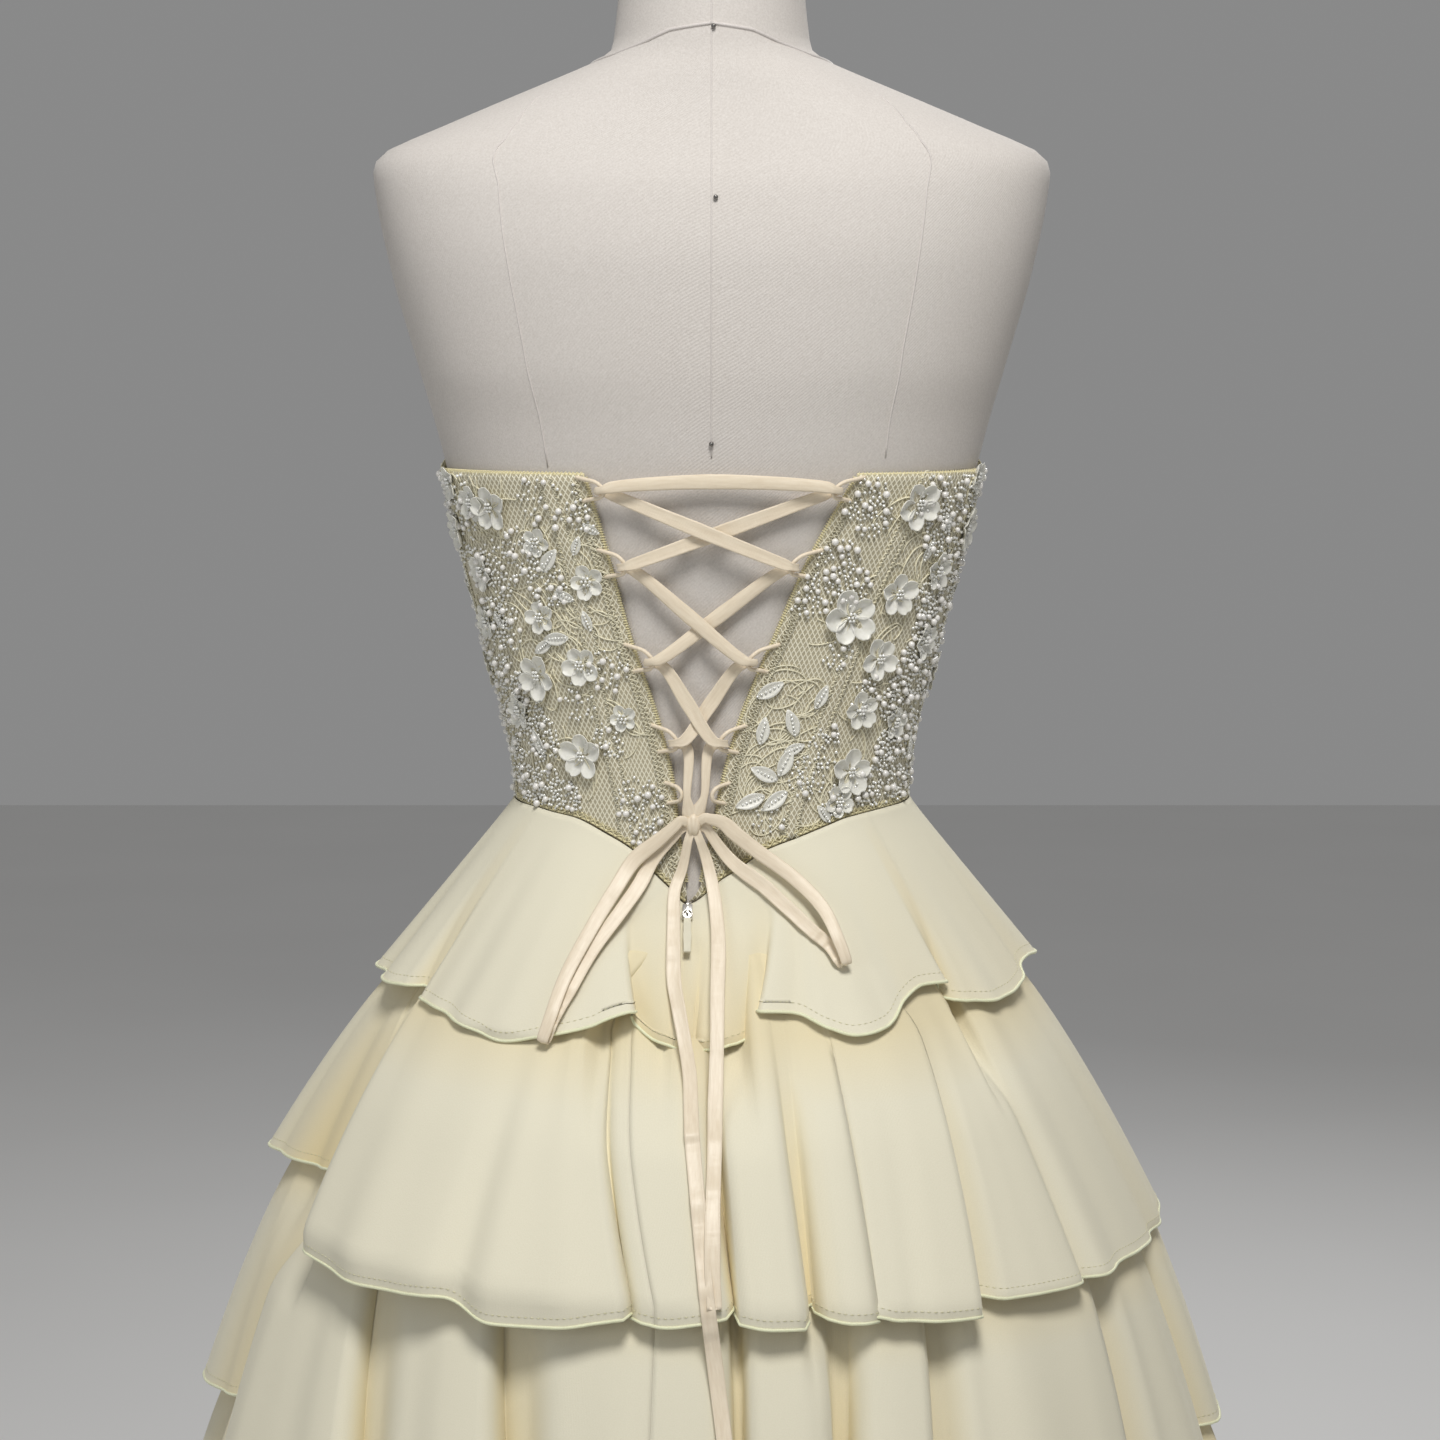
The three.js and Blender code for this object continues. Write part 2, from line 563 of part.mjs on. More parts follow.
function buildUnderskirt() {
  const columns = COLUMNS.filter((_, i) => i % UNDERSKIRT_COLUMN_STEP === 0);
  const ring = (shrink, levelAt) => columns.map((angle) => {
    const level = levelAt(angle);
    return ellipsePoint(angle, ...underskirtAt(level).map((size) => size - shrink), level);
  });
  const levels = [(angle) => waistLevel(angle) - UNDERSKIRT_DROP];
  for (const level of UNDERSKIRT_ROWS) {
    levels.push((angle) => Math.min(level, waistLevel(angle) - UNDERSKIRT_FIRST_ROW));
  }
  const outer = levels.map((levelAt) => ring(0, levelAt));
  const inner = levels.map((levelAt) => ring(UNDERSKIRT_WALL, levelAt));
  addPiece('underskirt', wall(outer, inner, true), PAINTS.chiffon);
}

// Bodice
const SHELL = FORM_CLEARANCE + BODICE_WALL;

function lacedEdge(side, level) {
  return lookUp(BACK_OPENING, level, side === 'left' ? 1 : 2);
}

// A panel's point, from its angle at the waist and its share of the height
function panelPoint(panel, waistAngle, share, out) {
  let angle = waistAngle;
  if (panel.laced) {
    const seam = panel.laced === 'left' ? panel.angles[0] : panel.angles[panel.angles.length - 1];
    const edgeLevel = (level) => bodyAngle(lacedEdge(panel.laced, level), level, SHELL);
    const low = BACK_OPENING[0][0];
    const high = BACK_OPENING[BACK_OPENING.length - 1][0];
    const across = (waistAngle - seam) / (CENTRE_BACK - seam);
    angle = seam + (edgeLevel(low + (high - low) * share) - seam) * across;
  }
  const low = waistLevel(waistAngle);
  return bodyPoint(angle, low + (topLevel(angle) - low) * share, out);
}

function buildPanel(panel) {
  const grid = (out) => {
    const rows = [];
    for (let row = PANEL_ROWS; row >= 0; row -= 1) {
      const share = row / PANEL_ROWS;
      const points = panel.angles.map((angle) => panelPoint(panel, angle, share, out));
      rows.push(shortened(points, SEAM_GAP));
    }
    return rows;
  };
  const plain = wall(grid(SHELL), grid(FORM_CLEARANCE), false);
  const [start] = panel.angles;
  const end = panel.angles[panel.angles.length - 1];
  const onPanel = ([angle]) => turned(angle, start) < end;
  let solid = solidFrom(plain);
  for (const row of FLOWERS.filter(onPanel)) solid = solid.add(solidFrom(flower(...row)));
  for (const row of LEAVES.filter(onPanel)) solid = solid.add(solidFrom(leaf(...row)));
  addPiece(panel.name, geometryFromSolid(solid), PAINTS.lace);
}

function solidFrom(geometry) {
  const bare = geometry.clone();
  bare.deleteAttribute('normal');
  bare.deleteAttribute('uv');
  const merged = mergeVertices(bare);
  return new wasm.Manifold(new wasm.Mesh({
    numProp: 3,
    vertProperties: merged.attributes.position.array,
    triVerts: new Uint32Array(merged.index.array),
  }));
}

function geometryFromSolid(solid) {
  const { vertProperties, triVerts } = solid.getMesh();
  const geometry = new THREE.BufferGeometry();
  geometry.setAttribute('position', new THREE.Float32BufferAttribute(vertProperties, 3));
  geometry.setIndex([...triVerts]);
  geometry.computeVertexNormals();
  return geometry;
}

// A raised shape on the bodice: a sunk outline, a raised rim and a crown point
function raised(angle, level, outline, turn, { sunk, rim, crown }) {
  const [x, y] = bodyPoint(angle, level, SHELL);
  const [nextX, nextY] = bodyPoint(angle + 1, level, SHELL);
  const perDegree = Math.hypot(nextX - x, nextY - y);
  const [cosine, sine] = [Math.cos(turn * DEGREE), Math.sin(turn * DEGREE)];
  const place = (share, height) => outline.map(([u, v]) => {
    const across = share * (u * cosine - v * sine);
    const up = share * (u * sine + v * cosine);
    return bodyPoint(angle + across / perDegree, level + up, SHELL + height);
  });
  return loft([place(1, sunk), place(RIM_SHARE, rim)], bodyPoint(angle, level, SHELL + crown));
}

function flower(angle, level, radius, turn) {
  const { sunk, rim, centre, petals, notch, spread } = FLOWER_PROFILE;
  const outline = [];
  for (let petal = 0; petal < petals; petal += 1) {
    const middle = (petal * FULL_TURN) / petals;
    const at = (degrees, share) => [
      radius * share * Math.cos(degrees * DEGREE), radius * share * Math.sin(degrees * DEGREE),
    ];
    outline.push(at(middle - FRONT / petals, notch), at(middle - spread, 1), at(middle + spread, 1));
  }
  return raised(angle, level, outline, turn, { sunk, rim, crown: centre });
}

function leaf(angle, level, length, turn) {
  const { sunk, rim, ridge, width, upperWidth } = LEAF_PROFILE;
  const half = (width * length) / 2;
  const outline = [
    [0, length / 2], [-half * upperWidth, length / 5], [-half, -length / 8], [0, -length / 2],
    [half, -length / 8], [half * upperWidth, length / 5],
  ];
  return raised(angle, level, outline, turn, { sunk, rim, crown: ridge });
}

// A flat or round strip swept along a route. Its face is kept turned to the back of the body
function strip(points, stepsPerSpan, widths, thickness, sides = 6) {
  const curve = new THREE.CatmullRomCurve3(points.map((p) => new THREE.Vector3(...p)));
  curve.curveType = 'centripetal';
  const steps = stepsPerSpan * (points.length - 1);
  const flank = new THREE.Vector3(1, 0, 0);
  const rings = [];
  for (let step = 0; step <= steps; step += 1) {
    const share = step / steps;
    const place = curve.getPoint(share);
    const along = curve.getTangent(share);
    const facing = new THREE.Vector3(place.x * FACING_SIDEWAYS, place.y, 0).normalize();
    const wanted = new THREE.Vector3().crossVectors(along, facing);
    if (wanted.length() > FREE_TURN) {
      flank.copy(wanted.dot(flank) < 0 ? wanted.negate() : wanted);
    }
    flank.addScaledVector(along, -flank.dot(along)).normalize();
    const width = widths[Math.round(share * (widths.length - 1))];
    const lift = new THREE.Vector3().crossVectors(along, flank);
    const ring = [];
    for (let side = 0; side < sides; side += 1) {
      const turn = (side * FULL_TURN * DEGREE) / sides;
      const point = place.clone();
      point.addScaledVector(flank, (width / 2) * Math.cos(turn));
      point.addScaledVector(lift, (thickness / 2) * Math.sin(turn) * SIX_SIDED_DEPTH);
      ring.push(point.toArray());
    }
    rings.push(ring);
  }
  return loft(rings);
}

// Lacing
const LOOP_OUT = SHELL + SEAM_GAP + LOOP_THICKNESS / 2;

// A point near a laced edge, a distance into the opening and a height out of the body
function besideEdge(side, level, reach, out) {
  const x = lacedEdge(side, level) + (side === 'left' ? reach : -reach);
  return bodyPoint(bodyAngle(x, level, out), level, out);
}

function buildLoop(side, index) {
  const level = LOOP_LEVELS[index];
  const reach = LOOP_REACHES[index];
  const leg = (up) => [
    [-LOOP_FOOT, up, 0], [0, up, LOOP_EDGE_RISE],
    [reach * LOOP_SHOULDER.reach, up * LOOP_SHOULDER.span, LOOP_RISE * LOOP_SHOULDER.rise],
  ];
  const upper = leg(LOOP_UPPER_FEET[index]);
  const lower = leg(-LOOP_HALF_SPAN).reverse();
  const route = [...upper, [reach, 0, LOOP_RISE], ...lower].map(
    ([into, up, rise]) => besideEdge(side, level + up, into, LOOP_OUT + rise),
  );
  const thickness = LOOP_THICKNESS * LOOP_FLATTENING;
  const geometry = strip(route, 1, [LOOP_THICKNESS], thickness, LOOP_SIDES);
  addPiece(`loop_${side}_${index + 1}`, geometry, PAINTS.satin);
}

// The ribbon's turn through a loop: over its arc, down inside it, and back under the arc
function turnThrough(side, index) {
  const level = LOOP_LEVELS[index];
  const reach = LOOP_REACHES[index];
  const arc = LOOP_OUT + LOOP_RISE;
  return TURN.map(([past, up, rise]) => besideEdge(side, level + up, reach + past, arc + rise));
}

// One end of the lacing down through the loops. What goes down to the right lies over the other
function strand(sides) {
  const route = [];
  sides.forEach((side, index) => {
    const turn = turnThrough(side, index);
    if (index > 0) {
      const before = route[route.length - 1];
      const middle = before.map((v, k) => (v + turn[0][k]) / 2);
      const height = side === 'right' ? STRAND_OVER : STRAND_UNDER;
      route.push(bodyPoint(bodyAngle(middle[0], middle[2], height), middle[2], height));
    }
    route.push(...turn);
  });
  return route;
}

// The lacing is bunched inside a loop, folded beside it and flat between loops
function widthAt(place) {
  const distance = Math.min(...LOOP_LEVELS.map((level) => Math.abs(place[2] - level)));
  if (distance < BUNCHED_WITHIN) return RIBBON.bunched;
  return distance < LOOP_HALF_SPAN ? RIBBON.turned : RIBBON.width;
}

// The lacing from the knot up one side, across the top and down again to the knot
function buildLacing() {
  const [knotX, knotY, knotZ] = KNOT.centre;
  const { above, halfGap, rightSpread, leftSpread, risen } = LACING_ENDS;
  const knotTop = knotZ + KNOT.radii[2] + above;
  const fromLeft = strand(['left', 'right', 'left', 'right']);
  const fromRight = strand(['right', 'left', 'right', 'left']);
  const route = [
    [knotX + halfGap, knotY, knotTop], [knotX + rightSpread, knotY, knotTop + risen],
    ...fromLeft.reverse(), bodyPoint(0, LOOP_LEVELS[0] + TOP_SPAN_RISE, TOP_SPAN_OUT), ...fromRight,
    [knotX - leftSpread, knotY, knotTop + risen], [knotX - halfGap, knotY, knotTop],
  ];
  addPiece('lacing_ribbon', strip(route, 2, route.map(widthAt), RIBBON.thickness), PAINTS.satin);
}

function buildBow() {
  const knot = new THREE.SphereGeometry(1, KNOT.sides, KNOT.rings);
  knot.scale(...KNOT.radii);
  knot.translate(...KNOT.centre);
  addPiece('bow_knot', knot, PAINTS.satin);
  const { hanging, thickness } = RIBBON;
  addPiece('bow_loop_left', strip(BOW_LOOP_LEFT, 1, [hanging], thickness), PAINTS.satin);
  addPiece('bow_loop_right', strip(BOW_LOOP_RIGHT, 1, [hanging], thickness), PAINTS.satin);
  addPiece('tail_left', strip(TAIL_LEFT, 1, [hanging], thickness, 8), PAINTS.satin);
  addPiece('tail_right', strip(TAIL_RIGHT, 1, [hanging], thickness, 8), PAINTS.satin);
}

// A block from its low and high corners, as a solid
function block(low, high) {
  const size = high.map((v, k) => v - low[k]);
  const box = new THREE.BoxGeometry(...size);
  box.translate(...low.map((v, k) => v + size[k] / 2));
  return solidFrom(box);
}

function addOnSlope(name, solid, paint) {
  const geometry = geometryFromSolid(solid);
  geometry.rotateX(ZIP.slope * DEGREE);
  geometry.translate(...ZIP.place);
  addPiece(name, geometry, paint);
}

function buildZip() {
  const { halfWidth, halfLength, thickness, bridgeSunk } = SLIDER;
  const { top, beam, upper, lower, leg } = BRIDGE;
  const wide = BRIDGE.halfWidth;
  const sunk = thickness - bridgeSunk;
  const slider = block([-halfWidth, -halfLength, 0], [halfWidth, halfLength, thickness])
    .add(block([-wide, upper - leg, sunk], [wide, upper, top]))
    .add(block([-wide, lower, sunk], [wide, lower + leg, top]))
    .add(block([-wide, lower, top - beam], [wide, upper, top]));
  addOnSlope('zip_slider', slider, PAINTS.steel);
  const { axis: [along, out], bar, armInside, armOutside, tabStart, tabEnd } = PULL;
  const arm = (side) => {
    const edges = [side * armInside, side * armOutside].sort((a, b) => a - b);
    return block([edges[0], tabStart - 1, out - bar], [edges[1], along + bar, out + bar]);
  };
  const halfTab = PULL.tabHalfThickness;
  const tab = block(
    [-PULL.tabHalfWidth, tabEnd, out - halfTab], [PULL.tabHalfWidth, tabStart, out + halfTab],
  );
  const pull = block([-armOutside, along - bar, out - bar], [armOutside, along + bar, out + bar])
    .add(arm(1)).add(arm(-1)).add(tab);
  addOnSlope('zip_pull', pull, PAINTS.chiffon);
}

buildForm();
buildStand();
buildUnderskirt();
TIERS.forEach((_, index) => buildTier(index));
PANELS.forEach(buildPanel);
LOOP_LEVELS.forEach((_, index) => ['left', 'right'].forEach((side) => buildLoop(side, index)));
buildLacing();
buildBow();
buildZip();

export default model;
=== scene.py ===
import math
import random

import bpy
import numpy as np
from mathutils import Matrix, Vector


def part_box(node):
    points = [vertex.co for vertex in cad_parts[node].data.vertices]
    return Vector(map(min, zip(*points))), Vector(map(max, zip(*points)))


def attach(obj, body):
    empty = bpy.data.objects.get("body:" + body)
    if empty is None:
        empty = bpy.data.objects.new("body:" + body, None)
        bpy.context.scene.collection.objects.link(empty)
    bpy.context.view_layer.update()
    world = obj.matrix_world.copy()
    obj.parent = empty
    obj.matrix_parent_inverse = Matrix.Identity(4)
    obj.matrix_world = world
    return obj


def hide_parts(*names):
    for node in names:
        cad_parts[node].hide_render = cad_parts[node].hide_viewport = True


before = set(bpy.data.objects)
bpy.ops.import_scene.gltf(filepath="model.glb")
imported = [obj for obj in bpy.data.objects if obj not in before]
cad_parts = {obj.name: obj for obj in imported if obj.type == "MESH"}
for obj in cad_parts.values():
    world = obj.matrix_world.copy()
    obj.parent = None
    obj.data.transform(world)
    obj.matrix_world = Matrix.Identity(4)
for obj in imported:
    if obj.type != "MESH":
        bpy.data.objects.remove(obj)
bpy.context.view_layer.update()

# Camera, at the photograph's viewing angle
EYE = Vector((0.0045, -1.6, 1.221))
TARGET = Vector((0.0045, 0, 1.042))
FIELD_OF_VIEW = math.radians(28.12)

FULL_TURN = 360.0
FRONT = 180.0
SIDE = 90.0
CENTRE_BACK = -6.0

# Cloth: how far each layer lies from what is under it, and how thick it is
SHELL = 0.0035
TIER_SEAT = 0.0017
LAYER_GAP = 0.005
HEM_TUCK = 0.005
RELEASE = 0.045
WAIST_GAP = 0.0003
NEXT_SEAM_ROOM = 0.0036
NEXT_SEAM_TOP = 0.958
CHIFFON = 0.0007
HEM_THICKNESS = 0.001
SMALLEST_LENGTH = 1e-12
LEVEL_ONLY = np.array([1, 1, 0])
HEM_WIDTH = 0.0045
HEM_FOLD = 0.0006
HEM_EDGE = 0.0008

# The form's level sections. Columns: level, half width, front depth, back depth, squareness
BODY = [
    (0.755, 0.153, 0.099, 0.112, 2.1), (0.8, 0.16, 0.103, 0.118, 2.1),
    (0.85, 0.153, 0.1, 0.114, 2), (0.9, 0.139, 0.095, 0.106, 2), (0.95, 0.121, 0.09, 0.096, 2),
    (0.975, 0.112, 0.087, 0.091, 2), (1, 0.106, 0.086, 0.088, 2),
    (1.04, 0.111, 0.091, 0.086, 2.1), (1.08, 0.121, 0.097, 0.088, 2.2),
    (1.12, 0.131, 0.103, 0.091, 2.2), (1.15, 0.139, 0.105, 0.095, 2.2),
    (1.182, 0.146, 0.104, 0.098, 2.3), (1.206, 0.152, 0.102, 0.1, 2.3),
    (1.238, 0.161, 0.099, 0.102, 2.4), (1.288, 0.175, 0.092, 0.1, 2.4),
    (1.33, 0.1835, 0.078, 0.09, 2.4), (1.344, 0.185, 0.071, 0.083, 2.4),
    (1.352, 0.1815, 0.067, 0.0785, 2.35), (1.358, 0.1705, 0.0645, 0.0755, 2.3),
    (1.367, 0.149, 0.0615, 0.071, 2.3), (1.381, 0.116, 0.0575, 0.065, 2.15),
    (1.391, 0.0915, 0.056, 0.062, 2.1), (1.398, 0.0745, 0.0555, 0.0595, 2.05),
    (1.404, 0.061, 0.0545, 0.0575, 2), (1.41, 0.0545, 0.054, 0.0565, 2),
    (1.422, 0.0525, 0.0525, 0.0545, 2), (1.436, 0.051, 0.051, 0.0525, 2),
    (1.45, 0.05, 0.05, 0.0515, 2),
]
BUST_ANGLE, BUST_LEVEL, BUST_RISE = 38, 1.146, 0.015
BUST_SPREAD_ANGLE, BUST_SPREAD_LEVEL = 25, 0.04
FORM_BUST_SHARE = 0.8

# The waist seam and the bodice's top edge. Columns: angle, level
WAIST_SEAM = [
    (-180, 0.958), (-174, 0.964), (-168, 0.97), (-156, 0.981), (-144, 0.989), (-132, 0.995),
    (-114, 1), (-60, 1), (-52, 0.999), (-42, 0.9976), (-28, 0.989), (-20, 0.981), (-17, 0.975),
    (-10, 0.963), (-6, 0.956), (3, 0.969), (6, 0.9725), (15, 0.9835), (24, 0.989), (34, 0.9945),
    (41, 0.9975), (54, 0.9995), (63, 1), (114, 1), (132, 0.995), (144, 0.989), (156, 0.981),
    (168, 0.97), (174, 0.964), (180, 0.958),
]
TOP_EDGE = [
    (0, 1.187), (12, 1.203), (26, 1.221), (38, 1.224), (52, 1.214), (68, 1.198), (84, 1.186),
    (98, 1.182), (180, 1.181),
]

# The two laced edges of the open back. Columns: level, left edge, right edge
BACK_OPENING = [
    (0.956, -0.013, -0.0122), (0.963, -0.0136, -0.0062), (0.98, -0.0156, -0.003),
    (0.994, -0.0186, 0.0016), (1.012, -0.02, 0.0046), (1.048, -0.0278, 0.0144),
    (1.084, -0.0396, 0.0284), (1.095, -0.0432, 0.0334), (1.136, -0.0542, 0.0514),
    (1.181, -0.067, 0.077),
]

# The plain underskirt. Columns: level, half width, half depth
UNDERSKIRT = [
    (0.548, 0.256, 0.244), (0.655, 0.236, 0.226), (0.728, 0.214, 0.205), (0.78, 0.194, 0.184),
    (0.852, 0.168, 0.152), (0.905, 0.147, 0.125), (0.938, 0.131, 0.1115), (0.955, 0.123, 0.101),
    (0.975, 0.1145, 0.0955), (1, 0.108, 0.09),
]
UNDERSKIRT_DROP = 0.003

